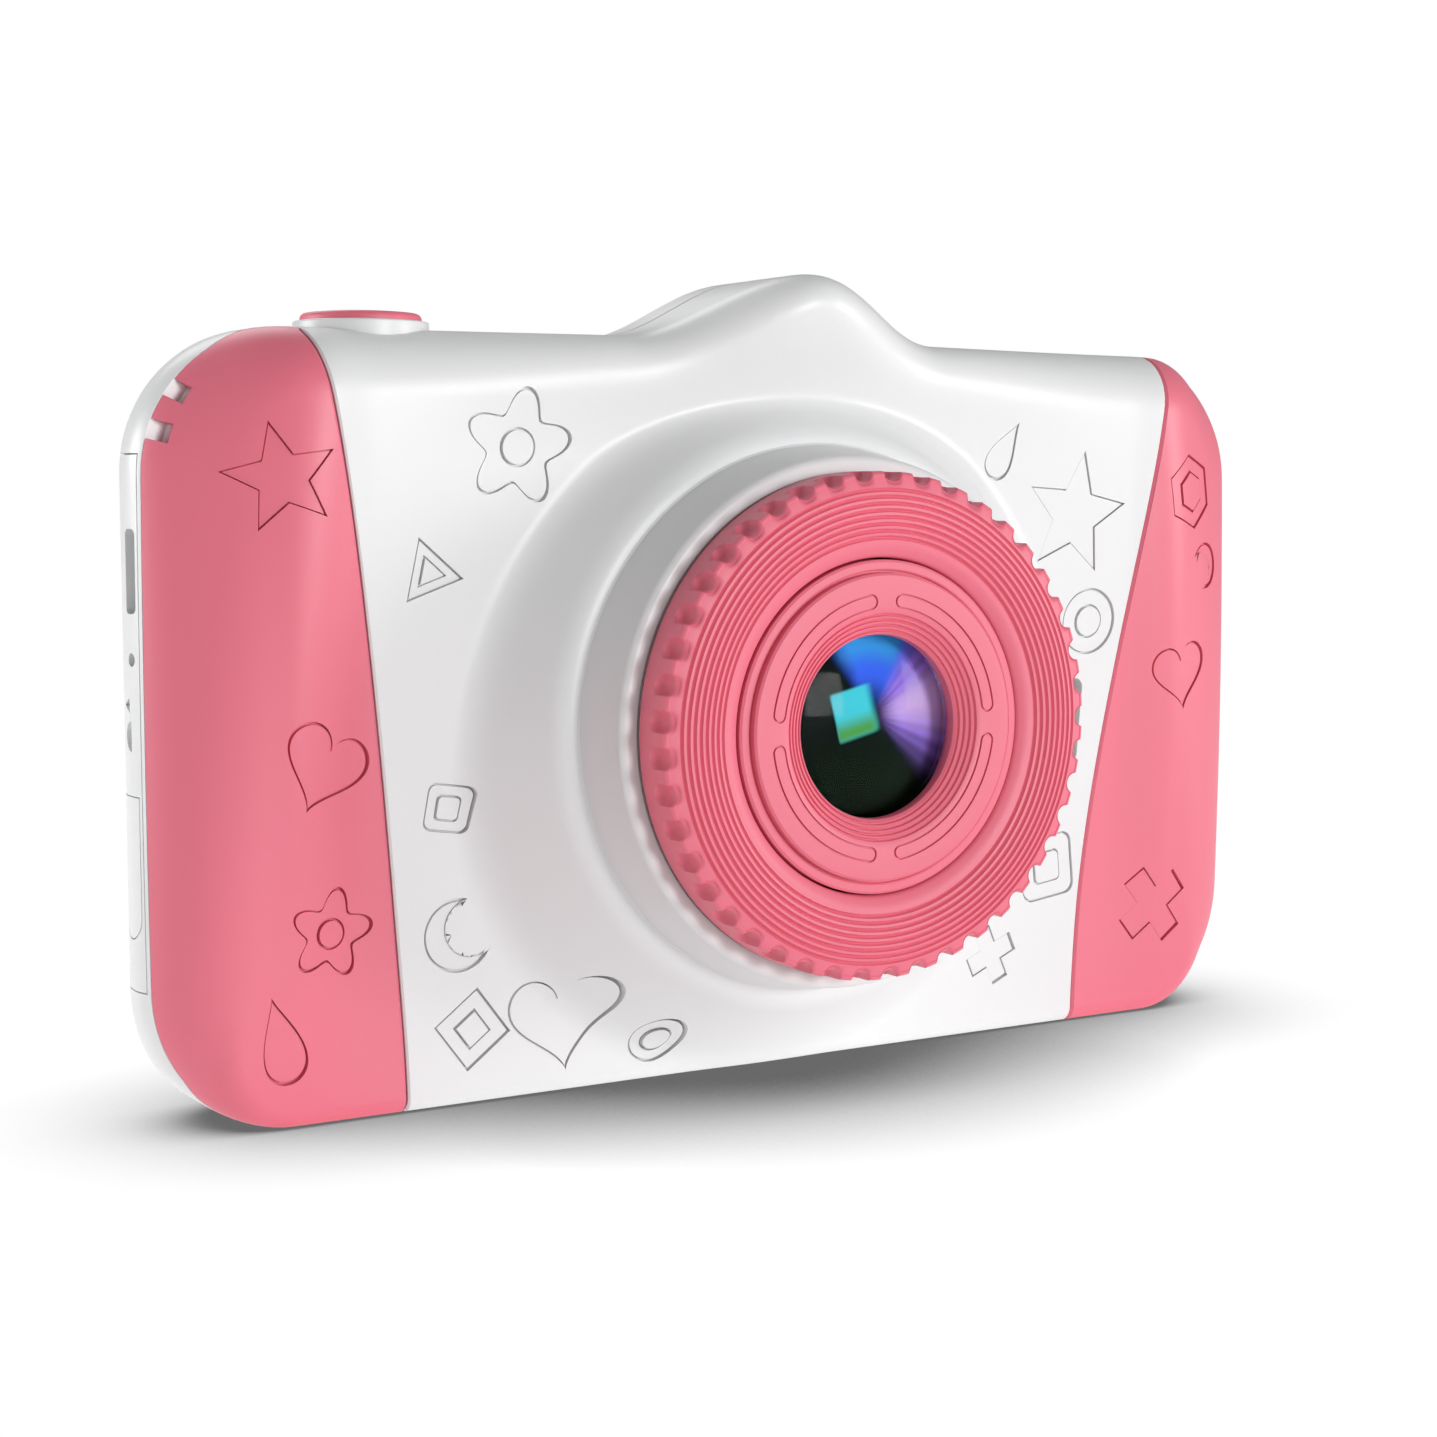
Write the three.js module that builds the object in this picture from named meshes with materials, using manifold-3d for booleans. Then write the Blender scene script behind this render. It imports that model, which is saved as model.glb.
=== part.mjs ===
// Kids digital camera: a white casing with pink end grips, a flared lens barrel with a toothed ring,
// a rear screen with a column of keys, and the works inside.
// Millimetres. +X is to the right seen from the front, +Y to the back, +Z up. The front faces -Y.
// The origin is the centre of the flat underside.
import * as THREE from "three";
import { mergeVertices } from "three/addons/utils/BufferGeometryUtils.js";
import Module from "manifold-3d";

const wasm = await Module();
wasm.setup();

// ---------------------------------------------------------------- driving dimensions
const WIDTH = 125.2;
const HEIGHT = 71.5;
const CORNER_R = 13;
const HUMP_RISE = 6;
const HUMP_HALF = 18;
const LENS_Z = 35.4;

const WIDE_Y = -0.5; // the depth at which the ends are widest
const SPLIT_Y = -3; // the plane where the front and rear casings meet
const REAR_Y = 8.5;
const FACE_Y = -6.1; // the front face low down
const LEAN = { most: 4.2, startZ: 10, reach: 56, endX: 46, fade: 14 }; // further forward near the top
const SWELL = { most: 1.6, startX: 43, reach: 8 }; // the grips' fullness
const BROW = { most: 6.8, half: 48, startZ: 60, reach: 17 }; // the top edge bows over the lens
const SEAM = { x: 39, spread: 8.3, reach: 66 }; // the line between white and pink

// Radii of the casing's rounded rims.
const END_ROUND = 9;
const TOP_ROUND = 6;
const HUMP_ROUND = 4;
const UNDER_ROUND = 1.6;
const REAR_TOP_ROUND = 8;
const REAR_UNDER_ROUND = 4;
const LEAST_ROUND = 0.6;

const GAP = 0.3; // between pieces that meet
const GRIP_WALL = 1.1;
const CASE_WALL = 2.6;
const UNDER_GRIP = GRIP_WALL + GAP;

const BELL_R = 28.6; // where the flared bell turns into its rounded lip
const BELL_SLOPE = 1.25;
const BELL_FOOT = { radius: 31, y: -11.07 };
const BELL_BLEND = 2;
const BARREL_Y = -21.4; // the barrel's front face
const BARREL_BORE_R = 17.3;
const RING_R = 23.5;
const RING_TEETH = 45;
const FLUTE = { radius: 1.3, atR: 24.2, endY: -23.4 };
const RING_FRONT_Y = -26.7;
const RING_BACK_Y = -21.8;
const SLEEVE_R = 17;
const SLEEVE_BORE_R = 15.6;
const SLEEVE_END_Y = -18.4;
const BEZEL_R = 15.3;
const LENS_HOLE_R = 8.5;

const HALF_WIDTH = WIDTH / 2;
const MIDDLE_Z = HEIGHT / 2;
const FAR = 200; // larger than the object, for cutting blocks

// ---------------------------------------------------------------- small tools
const smooth = (t) => {
  const c = Math.min(1, Math.max(0, t));
  return c * c * (3 - 2 * c);
};

// The lower of two heights, blended where they are within `reach` of each other.
const softMin = (a, b, reach) => {
  const near = Math.max(0, reach - Math.abs(a - b)) / reach;
  return Math.min(a, b) - (near * near * reach) / 4;
};

// A closed geometry as a solid with its faces pointing out.
function solid(geometry) {
  const bare = geometry.index ? geometry.toNonIndexed() : geometry.clone();
  bare.deleteAttribute("normal");
  bare.deleteAttribute("uv");
  const merged = mergeVertices(bare, 1e-4);
  const corners = merged.index.array;
  const at = (i) => new THREE.Vector3().fromBufferAttribute(merged.attributes.position, i);
  const faces = [];
  let volume = 0;
  for (let i = 0; i < corners.length; i += 3) {
    const [a, b, c] = [corners[i], corners[i + 1], corners[i + 2]];
    if (a === b || b === c || c === a) continue;
    faces.push([a, b, c]);
    volume += at(a).dot(at(b).cross(at(c)));
  }
  const turned = volume < 0 ? faces.map(([a, b, c]) => [a, c, b]) : faces;
  const vertProperties = merged.attributes.position.array;
  const triVerts = new Uint32Array(turned.flat());
  return new wasm.Manifold(new wasm.Mesh({ numProp: 3, vertProperties, triVerts }));
}

function geometryOf(body) {
  const mesh = body.getMesh();
  const geometry = new THREE.BufferGeometry();
  geometry.setAttribute("position", new THREE.BufferAttribute(mesh.vertProperties, 3));
  geometry.setIndex(new THREE.BufferAttribute(mesh.triVerts, 1));
  return geometry;
}

const join = (first, ...others) => others.reduce((sum, other) => sum.add(other), first);
const cut = (first, ...others) => others.reduce((rest, other) => rest.subtract(other), first);

// A block between two corners.
function block([x0, y0, z0], [x1, y1, z1]) {
  const geometry = new THREE.BoxGeometry(x1 - x0, y1 - y0, z1 - z0);
  return solid(geometry.translate((x0 + x1) / 2, (y0 + y1) / 2, (z0 + z1) / 2));
}

// A round bar along Y, X or Z.
function barY(x, z, radius, y0, y1, sides = 24) {
  const geometry = new THREE.CylinderGeometry(radius, radius, y1 - y0, sides);
  return solid(geometry.translate(x, (y0 + y1) / 2, z));
}

function barX(y, z, radius, x0, x1, sides = 16) {
  const geometry = new THREE.CylinderGeometry(radius, radius, x1 - x0, sides);
  return solid(geometry.rotateZ(Math.PI / 2).translate((x0 + x1) / 2, y, z));
}

// A turned solid on the lens axis, from a profile of [radius, y] points that is closed on itself or
// starts and ends on the axis.
function turnedY(profile, sides = 48) {
  const points = profile.map(([radius, y]) => new THREE.Vector2(radius, y));
  return solid(new THREE.LatheGeometry(points, sides).translate(0, 0, LENS_Z));
}

// A flat ring on the lens axis.
function ringY(inner, outer, y0, y1, sides = 48) {
  return turnedY([[inner, y0], [outer, y0], [outer, y1], [inner, y1], [inner, y0]], sides);
}

// A turned solid on a vertical axis through (x, y).
function turnedZ(x, y, profile, sides = 32) {
  const points = profile.map(([radius, z]) => new THREE.Vector2(radius, z));
  return solid(new THREE.LatheGeometry(points, sides).rotateX(Math.PI / 2).translate(x, y, 0));
}

function roundedRectangle(width, height, radius) {
  const [a, b] = [width / 2 - radius, height / 2 - radius];
  const shape = new THREE.Shape();
  shape.absarc(a, -b, radius, -Math.PI / 2, 0);
  shape.absarc(a, b, radius, 0, Math.PI / 2);
  shape.absarc(-a, b, radius, Math.PI / 2, Math.PI);
  shape.absarc(-a, -b, radius, Math.PI, Math.PI * 1.5);
  shape.closePath();
  return shape;
}

// A shape drawn in X and Z, extruded along Y.
function plateY(shape, x, z, y0, y1, curveSegments = 5) {
  const options = { depth: y1 - y0, bevelEnabled: false, curveSegments };
  const geometry = new THREE.ExtrudeGeometry(shape, options);
  return solid(geometry.rotateX(Math.PI / 2).translate(x, y1, z));
}

// A shape drawn in Y (across) and Z (up), extruded along X.
function plateX(shape, y, z, x0, x1, curveSegments = 5) {
  const options = { depth: x1 - x0, bevelEnabled: false, curveSegments };
  const geometry = new THREE.ExtrudeGeometry(shape, options);
  geometry.rotateX(Math.PI / 2).rotateZ(Math.PI / 2);
  return solid(geometry.translate(x0, y, z));
}

// ---------------------------------------------------------------- the casing's outer form
const humpFraction = (x) =>
  Math.abs(x) < HUMP_HALF ? (1 + Math.cos((Math.PI * x) / HUMP_HALF)) / 2 : 0;

const humpSlope = (x) =>
  Math.abs(x) < HUMP_HALF
    ? (-HUMP_RISE * Math.PI * Math.sin((Math.PI * x) / HUMP_HALF)) / (2 * HUMP_HALF)
    : 0;

// The front view's outline, anticlockwise from the lower left: points with their outward normals.
function outline(topSteps, cornerSteps) {
  const points = [];
  const [cornerX, lowZ, highZ] = [HALF_WIDTH - CORNER_R, CORNER_R, HEIGHT - CORNER_R];
  const bottomSteps = topSteps / 2;
  const sideSteps = 3;
  const corner = (x, z, start) => {
    for (let i = 0; i < cornerSteps; i++) {
      const angle = start + ((Math.PI / 2) * i) / cornerSteps;
      const [nx, nz] = [Math.cos(angle), Math.sin(angle)];
      points.push({ x: x + CORNER_R * nx, z: z + CORNER_R * nz, nx, nz });
    }
  };
  const side = (x, from, to, nx) => {
    for (let i = 0; i < sideSteps; i++) {
      points.push({ x, z: from + ((to - from) * i) / sideSteps, nx, nz: 0 });
    }
  };
  for (let i = 0; i < bottomSteps; i++) {
    points.push({ x: -cornerX + (2 * cornerX * i) / bottomSteps, z: 0, nx: 0, nz: -1 });
  }
  corner(cornerX, lowZ, -Math.PI / 2);
  side(HALF_WIDTH, lowZ, highZ, 1);
  corner(cornerX, highZ, 0);
  for (let i = 0; i < topSteps; i++) {
    const x = cornerX - (2 * cornerX * i) / topSteps;
    const slope = humpSlope(x);
    const length = Math.hypot(1, slope);
    points.push({
      x,
      z: HEIGHT + HUMP_RISE * humpFraction(x),
      nx: -slope / length,
      nz: 1 / length,
    });
  }
  corner(-cornerX, highZ, Math.PI / 2);
  side(-HALF_WIDTH, highZ, lowZ, -1);
  corner(-cornerX, lowZ, Math.PI);
  return points;
}

// How far the top edge bows forward, as a share of its most, at the middle.
const browFraction = (x) =>
  Math.abs(x) < BROW.half ? (1 + Math.cos((Math.PI * x) / BROW.half)) / 2 : 0;

// The front face without the bell: it leans forward towards the top but not at the ends, swells at
// the grips and bows forward as a brow over the lens.
function faceY(x, z) {
  const ends = smooth((Math.abs(x) - LEAN.endX) / LEAN.fade);
  const lean = LEAN.most * smooth((z - LEAN.startZ) / LEAN.reach) * (1 - ends);
  const upDown = 1 - ((z - MIDDLE_Z) / MIDDLE_Z) ** 2;
  const swell = SWELL.most * smooth((Math.abs(x) - SWELL.startX) / SWELL.reach) * Math.max(0, upDown);
  const brow = BROW.most * browFraction(x) * smooth((z - BROW.startZ) / BROW.reach);
  return FACE_Y - lean - swell - brow;
}

// The flared bell, as a cone with its foot blended into the face.
function bellY(radius) {
  return BELL_FOOT.y + BELL_SLOPE * (radius - BELL_FOOT.radius);
}

function frontY(x, z, inset) {
  const radius = Math.hypot(x, z - LENS_Z);
  return softMin(faceY(x, z), bellY(radius + inset), BELL_BLEND) + inset;
}

// The stepped barrel inside the bell, as [radius, y].
const BARREL_STEPS = [
  [BELL_R, bellY(BELL_R)],
  [27.9, -14.8],
  [27.1, -15.25],
  [26.2, -15.4],
  [24.9, -20.8],
  [24.2, BARREL_Y],
  [21, BARREL_Y],
];

// The rim's radius: the ends' where the outline faces sideways, the top's or underside's elsewhere.
function frontRound({ nx, nz, x }) {
  const top = TOP_ROUND + (HUMP_ROUND - TOP_ROUND) * humpFraction(x);
  return END_ROUND * nx * nx + (nz > 0 ? top : UNDER_ROUND) * nz * nz;
}

const rearRound = ({ nx, nz }) =>
  END_ROUND * nx * nx + (nz > 0 ? REAR_TOP_ROUND : REAR_UNDER_ROUND) * nz * nz;

// The whole casing as one closed solid, `inset` millimetres inside its outer skin.
function envelope(inset, { roundSteps = 3, faceSteps = 5, topSteps = 20, cornerSteps = 5 } = {}) {
  const edge = outline(topSteps, cornerSteps);
  const rings = [];
  const quarter = Array.from({ length: roundSteps + 1 }, (_, i) => ((Math.PI / 2) * i) / roundSteps);
  const inward = (p, distance) => [p.x - p.nx * distance, p.z - p.nz * distance];

  // Rear: the flat back, then its rounded rim, out to the widest line.
  for (const angle of quarter) {
    rings.push(
      edge.map((p) => {
        const radius = Math.max(rearRound(p) - inset, LEAST_ROUND);
        const [x, z] = inward(p, inset + radius * (1 - Math.sin(angle)));
        const drop = Math.min(radius, REAR_Y - inset - WIDE_Y);
        return [x, REAR_Y - inset - drop * (1 - Math.cos(angle)), z];
      }),
    );
  }
  rings.push(edge.map((p) => [inward(p, inset)[0], WIDE_Y, inward(p, inset)[1]]));

  // Front: the rounded rim inwards, then across the face to the bell.
  for (const angle of quarter.slice().reverse()) {
    rings.push(
      edge.map((p) => {
        const radius = Math.max(frontRound(p) - inset, LEAST_ROUND);
        const [x, z] = inward(p, inset + radius * (1 - Math.sin(angle)));
        const y = frontY(x, z, inset);
        const drop = Math.min(radius, WIDE_Y - 0.05 - y);
        return [x, y + drop * (1 - Math.cos(angle)), z];
      }),
    );
  }
  const rim = rings[rings.length - 1];
  const bell = BELL_R - inset;
  const bearing = rim.map(([x, , z]) => Math.atan2(z - LENS_Z, x));
  for (let step = 1; step < faceSteps; step++) {
    const t = step / faceSteps;
    rings.push(
      rim.map(([x, , z], i) => {
        const px = x + t * (bell * Math.cos(bearing[i]) - x);
        const pz = z + t * (LENS_Z + bell * Math.sin(bearing[i]) - z);
        return [px, frontY(px, pz, inset), pz];
      }),
    );
  }
  for (const [radius, y] of BARREL_STEPS) {
    const r = radius - inset;
    rings.push(
      bearing.map((angle) => [r * Math.cos(angle), y + inset, LENS_Z + r * Math.sin(angle)]),
    );
  }
  return solid(skinOf(rings, [0, REAR_Y - inset, LENS_Z], [0, BARREL_Y + inset, LENS_Z]));
}

// A closed skin over rings of equal length, fanned to a point at each end.
function skinOf(rings, first, last) {
  const count = rings[0].length;
  const positions = [first, ...rings.flat(), last].flat();
  const index = [];
  const id = (ring, i) => 1 + ring * count + (i % count);
  for (let i = 0; i < count; i++) {
    index.push(0, id(0, i + 1), id(0, i));
    index.push(rings.length * count + 1, id(rings.length - 1, i), id(rings.length - 1, i + 1));
  }
  for (let ring = 0; ring + 1 < rings.length; ring++) {
    for (let i = 0; i < count; i++) {
      index.push(id(ring, i), id(ring, i + 1), id(ring + 1, i + 1));
      index.push(id(ring, i), id(ring + 1, i + 1), id(ring + 1, i));
    }
  }
  const geometry = new THREE.BufferGeometry();
  geometry.setAttribute("position", new THREE.Float32BufferAttribute(positions, 3));
  geometry.setIndex(index);
  return geometry;
}

const outer = envelope(0);
const underGrip = envelope(GRIP_WALL);
const belowGrip = envelope(UNDER_GRIP);
const hollow = envelope(CASE_WALL, { roundSteps: 2, faceSteps: 3, topSteps: 12, cornerSteps: 3 });

// ---------------------------------------------------------------- grips
// The seam between white and pink leans outwards as it rises.
const seamX = (z) => SEAM.x + SEAM.spread * Math.max(0, z / SEAM.reach) ** 1.5;

function gripRegion(sign, shift) {
  const shape = new THREE.Shape();
  const steps = 8;
  shape.moveTo(sign * FAR, -5);
  shape.lineTo(sign * (seamX(0) - shift), -5);
  for (let i = 0; i <= steps; i++) {
    const z = (76 * i) / steps;
    shape.lineTo(sign * (seamX(z) - shift), z);
  }
  shape.lineTo(sign * FAR, 76);
  shape.closePath();
  return plateY(shape, 0, 0, -FAR / 2, SPLIT_Y);
}

// Two notches in the left grip's rear edge, where a wrist strap loops round the strip between them.
// They point at the middle of the corner's round.
const NOTCH = { degrees: [18.8, 38], innerR: 10.5, outerR: 16, width: 1.8, depth: 1.7 };

const strapNotches = () =>
  NOTCH.degrees.map((degrees) => {
    const angle = Math.PI - THREE.MathUtils.degToRad(degrees);
    const bar = block(
      [NOTCH.innerR, SPLIT_Y - NOTCH.depth, -NOTCH.width / 2],
      [NOTCH.outerR, SPLIT_Y + 0.1, NOTCH.width / 2],
    );
    const turned = bar.rotate([0, -THREE.MathUtils.radToDeg(angle), 0]);
    return turned.translate([-(HALF_WIDTH - CORNER_R), 0, HEIGHT - CORNER_R]);
  });

const grip = (sign) => cut(outer.intersect(gripRegion(sign, 0)), underGrip);
const leftGrip = () => cut(grip(-1), ...strapNotches());
const rightGrip = () => grip(1);

// ---------------------------------------------------------------- places that several pieces share
const SCREW_PLACES = [
  [-51, 8],
  [51, 8],
  [-51, 61.5],
  [51, 61.5],
];
const POST_R = 2.6;
const POST_MEET_Y = 2;
const SHUTTER = { x: -40.5, y: -1, capR: 5.5, collarR: 6.15 };
const SPEAKER = { x: 37.1, z: 32.8 };
const SLOT = { width: 2.4, height: 9.2 };
const WINDOW = { x: 9, z: 36, width: 74, height: 50, glassY: 7.2 };
const PANEL = { y0: -2.4, y1: 4.4, z0: 13.1, z1: 60.2 };
const USB = { y: -1.2, z: 50.1, width: 1.8, height: 7.4 };
const MIC = { y: -1.2, z: 42.4, radius: 0.6 };
const DOOR = { y: 0, z0: 17.7, z1: 30.3, width: 4 };
const CARD = { y: -1, z: 24, height: 11, thick: 0.9 };
const KEY_FRONT_Y = 5;
const SOCKET_X = -(HALF_WIDTH - CASE_WALL - 1.2); // the sockets' mouths, just inside the wall

// Round keys on the back, and the four keys of the direction pad.
const KEYS = {
  key_ok: { x: -42, z: 38, radius: 3.2 },
  key_up: { x: -42, z: 46.2, radius: 2.6 },
  key_down: { x: -42, z: 29.8, radius: 2.6 },
  key_left: { x: -33.8, z: 38, radius: 2.6 },
  key_right: { x: -50.2, z: 38, radius: 2.6 },
  key_menu: { x: -42, z: 56.5, radius: 2.8 },
  key_power: { x: -42, z: 19, radius: 2.8 },
};

const shutterWell = (radius) =>
  turnedZ(SHUTTER.x, SHUTTER.y, [[0, 60], [radius, 60], [radius, 80], [0, 80]]);
const usbHole = (x0, x1) =>
  plateX(roundedRectangle(USB.width, USB.height, 0.6), USB.y, USB.z, x0, x1);

// ---------------------------------------------------------------- casings
function frontShell() {
  const half = outer.intersect(block([-FAR, -FAR, -5], [FAR, SPLIT_Y, FAR]));
  const pockets = [-1, 1].map((sign) => cut(gripRegion(sign, GAP), belowGrip));
  const slot = plateY(roundedRectangle(SLOT.width, SLOT.height, 1.1), SPEAKER.x, SPEAKER.z, -20, 0);
  const bore = barY(0, LENS_Z, BARREL_BORE_R, -FAR / 2, 0, 48);
  const shell = cut(half, ...pockets, hollow, bore, slot, shutterWell(SHUTTER.collarR + GAP));
  const posts = SCREW_PLACES.map(([x, z]) =>
    cut(barY(x, z, POST_R, -20, POST_MEET_Y, 16).intersect(belowGrip), barY(x, z, 0.8, -4, 10, 12)),
  );
  return join(shell, ...posts);
}

function rearShell() {
  const half = outer.intersect(block([-FAR, SPLIT_Y + GAP, -5], [FAR, FAR, FAR]));
  const panelPocket = cut(
    block([-FAR, PANEL.y0 - GAP, PANEL.z0 - GAP], [-54, PANEL.y1 + GAP, PANEL.z1 + GAP]),
    belowGrip,
  );
  const { x, z, width, height, glassY } = WINDOW;
  const recess = roundedRectangle(width + 2 * GAP, height + 2 * GAP, 3 + GAP);
  const opening = roundedRectangle(width - 5, height - 5, 1);
  const keyHoles = Object.values(KEYS).map((k) => barY(k.x, k.z, k.radius + GAP, 0, 20, 24));
  const shell = cut(
    half,
    hollow,
    panelPocket,
    plateY(recess, x, z, glassY - 0.1, 20),
    plateY(opening, x, z, 0, 20),
    ...keyHoles,
    shutterWell(SHUTTER.collarR + GAP),
    usbHole(-70, -50),
    barX(MIC.y, MIC.z, MIC.radius, -70, -50),
    block([-70, DOOR.y - 1.9, DOOR.z0 + 0.6], [-55, DOOR.y + 1.5, DOOR.z1 - 0.6]),
  );
  const posts = SCREW_PLACES.map(([px, pz]) =>
    barY(px, pz, POST_R, POST_MEET_Y + GAP, REAR_Y - 1, 16),
  );
  const screwHoles = SCREW_PLACES.flatMap(([px, pz]) => [
    barY(px, pz, 1.15, 0, 20, 12),
    barY(px, pz, 2.2, REAR_Y - 1.5, 20, 16),
  ]);
  return cut(join(shell, ...posts), ...screwHoles);
}

// The flap over the card slot: a strip with a round lower end, hinged along its straight top.
function doorShape(grow) {
  const radius = DOOR.width / 2 + grow;
  const rise = DOOR.z1 - DOOR.z0 - DOOR.width / 2;
  const shape = new THREE.Shape();
  shape.moveTo(radius, rise + grow);
  shape.lineTo(-radius, rise + grow);
  shape.lineTo(-radius, 0);
  shape.absarc(0, 0, radius, Math.PI, 2 * Math.PI);
  shape.closePath();
  return plateX(shape, DOOR.y, DOOR.z0 + DOOR.width / 2, -70, -55);
}

const endSkin = () => cut(outer, underGrip);

const sidePanel = () =>
  cut(
    endSkin().intersect(block([-FAR, PANEL.y0, PANEL.z0], [-54, PANEL.y1, PANEL.z1])),
    usbHole(-70, -50),
    barX(MIC.y, MIC.z, MIC.radius, -70, -50),
    doorShape(GAP),
  );

const cardDoor = () => endSkin().intersect(doorShape(0));

// ---------------------------------------------------------------- lens
function lensRing() {
  const body = turnedY([
    [SLEEVE_BORE_R, -25.6],
    [17.2, -26.2],
    [19.5, RING_FRONT_Y],
    [22.2, -26.6],
    [RING_R, -26.1],
    [RING_R, RING_BACK_Y],
    [SLEEVE_R, RING_BACK_Y],
    [SLEEVE_R, SLEEVE_END_Y],
    [SLEEVE_BORE_R, SLEEVE_END_Y],
    [SLEEVE_BORE_R, -25.6],
  ], 90);
  const flutes = Array.from({ length: RING_TEETH }, (_, i) => {
    const angle = (2 * Math.PI * i) / RING_TEETH;
    const [x, z] = [FLUTE.atR * Math.cos(angle), LENS_Z + FLUTE.atR * Math.sin(angle)];
    return barY(x, z, FLUTE.radius, RING_FRONT_Y - 1, FLUTE.endY, 6);
  });
  return cut(body, ...flutes);
}

const ringRetainer = () => ringY(SLEEVE_BORE_R, 19.5, SLEEVE_END_Y + 0.1, -17.1);

const lensBezel = () =>
  turnedY([
    [LENS_HOLE_R, -25.15],
    [10.6, -26.4],
    [14.3, -26.5],
    [14.4, -25.9],
    [BEZEL_R, -25.9],
    [BEZEL_R, -10.6],
    [13.8, -10.6],
    [13.8, -22.4],
    [9.3, -22.4],
    [9.3, -24.4],
    [LENS_HOLE_R, -24.4],
    [LENS_HOLE_R, -25.15],
  ]);

// The glass: its front bulges, and its edge sits in the plate's recess.
function lensWindow() {
  const bulge = Array.from({ length: 6 }, (_, i) => {
    const radius = (8.2 * i) / 5;
    return [radius, -24.9 + 1.3 * (radius / 8.2) ** 2];
  });
  return turnedY([...bulge, [9, -23.6], [9, -22.6], [0, -22.6]], 32);
}

const lensBaffle = () =>
  turnedY([[8.6, -22.2], [13.4, -22.2], [13.4, -20], [10.2, -17.4], [6.4, -17.4], [8.6, -22.2]], 32);

const innerLens = () =>
  turnedY([[0, -16.4], [3, -16.1], [5.6, -15.2], [5.6, -14.2], [3, -13.4], [0, -13.1]], 24);

const lensHolder = () =>
  turnedY([
    [5.9, -17.1],
    [9.6, -17.1],
    [9.6, -10.3],
    [24.4, -10.3],
    [24.4, -8.8],
    [5.9, -8.8],
    [5.9, -17.1],
  ]);

const imageSensor = () => block([-4, -8.4, LENS_Z - 3], [4, -7.1, LENS_Z + 3]);
const sensorBoard = () => block([-9, -7, LENS_Z - 9], [9, -6, LENS_Z + 9]);

// ---------------------------------------------------------------- shutter
const shutterCollar = () =>
  turnedZ(SHUTTER.x, SHUTTER.y, [
    [2.2, 68.6],
    [SHUTTER.collarR, 68.6],
    [SHUTTER.collarR, 72],
    [5.95, 72.3],
    [5.75, 72.3],
    [5.75, 69.8],
    [2.2, 69.8],
    [2.2, 68.6],
  ]);

const shutterButton = () =>
  turnedZ(SHUTTER.x, SHUTTER.y, [
    [0, 66.8],
    [1.8, 66.8],
    [1.8, 71.4],
    [SHUTTER.capR, 71.4],
    [SHUTTER.capR, 72.7],
    [5, 73.1],
    [0, 73.3],
  ]);

function shutterSpring() {
  class Helix extends THREE.Curve {
    getPoint(t) {
      const angle = 2 * Math.PI * 2 * t;
      const z = 70.1 + 1 * t;
      return new THREE.Vector3(3.6 * Math.cos(angle), 3.6 * Math.sin(angle), z);
    }
  }
  const wire = new THREE.Shape().absarc(0, 0, 0.15, 0, 2 * Math.PI);
  const options = { steps: 28, extrudePath: new Helix(), curveSegments: 2, bevelEnabled: false };
  const geometry = new THREE.ExtrudeGeometry(wire, options);
  return solid(geometry.translate(SHUTTER.x, SHUTTER.y, 0));
}

const shutterSwitch = () =>
  join(
    block([SHUTTER.x - 3, -3, 61.4], [SHUTTER.x + 3, -0.1, 64.8]),
    turnedZ(SHUTTER.x, SHUTTER.y - 0.6, [[0, 64], [1.2, 64], [1.2, 65.6], [0, 65.6]], 12),
  );

// ---------------------------------------------------------------- electronics
const mainBoard = () =>
  join(block([-57, 0.2, 13], [28, 1.4, 57]), block([-46, 0.2, 56], [-35, 1.4, 65]));
const battery = () => block([-44, -3.9, 24], [-14, -0.1, 54]);

function batteryLead() {
  const route = new THREE.CatmullRomCurve3([
    new THREE.Vector3(-13.8, -2, 50),
    new THREE.Vector3(-11, -2, 50.4),
    new THREE.Vector3(-8, -2.6, 53),
    new THREE.Vector3(-5, -2.2, 55),
    new THREE.Vector3(-3, -0.2, 55),
  ]);
  const wire = new THREE.Shape().absarc(0, 0, 0.7, 0, 2 * Math.PI);
  const options = { steps: 12, extrudePath: route, curveSegments: 2, bevelEnabled: false };
  return solid(new THREE.ExtrudeGeometry(wire, options));
}

const usbSocket = () =>
  cut(
    block([SOCKET_X, -2.15, 46.2], [-56, 0.1, 54]),
    block([-63, -1.8, 46.9], [-57, -0.4, 53.3]),
  );
const cardSocket = () =>
  cut(
    block([SOCKET_X, -1.9, 17.6], [-46, 0.1, 30.4]),
    block([-63, -1.6, 18.2], [-47, -0.3, 29.8]),
  );
const memoryCard = () =>
  block(
    [SOCKET_X + 0.2, CARD.y - CARD.thick / 2, CARD.z - CARD.height / 2],
    [-47.2, CARD.y + CARD.thick / 2, CARD.z + CARD.height / 2],
  );
const microphone = () => barX(MIC.y, MIC.z, 1.1, SOCKET_X, SOCKET_X + 1.2, 12);
const speaker = () => barY(SPEAKER.x, SPEAKER.z, 6.5, -4, -1, 24);

// ---------------------------------------------------------------- screen and keys
const lcdPanel = () => {
  const { x, z, width, height } = WINDOW;
  return block([x - width / 2 + 1, 3, z - height / 2 + 1], [x + width / 2 - 1, 5.4, z + height / 2 - 1]);
};

const lcdFrame = () => {
  const { x, z, width, height } = WINDOW;
  const around = (grow, y0, y1) =>
    block(
      [x - width / 2 - grow, y0, z - height / 2 - grow],
      [x + width / 2 + grow, y1, z + height / 2 + grow],
    );
  return cut(around(0.2, 1.8, 5.6), around(-0.8, 2.8, 9));
};

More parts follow.
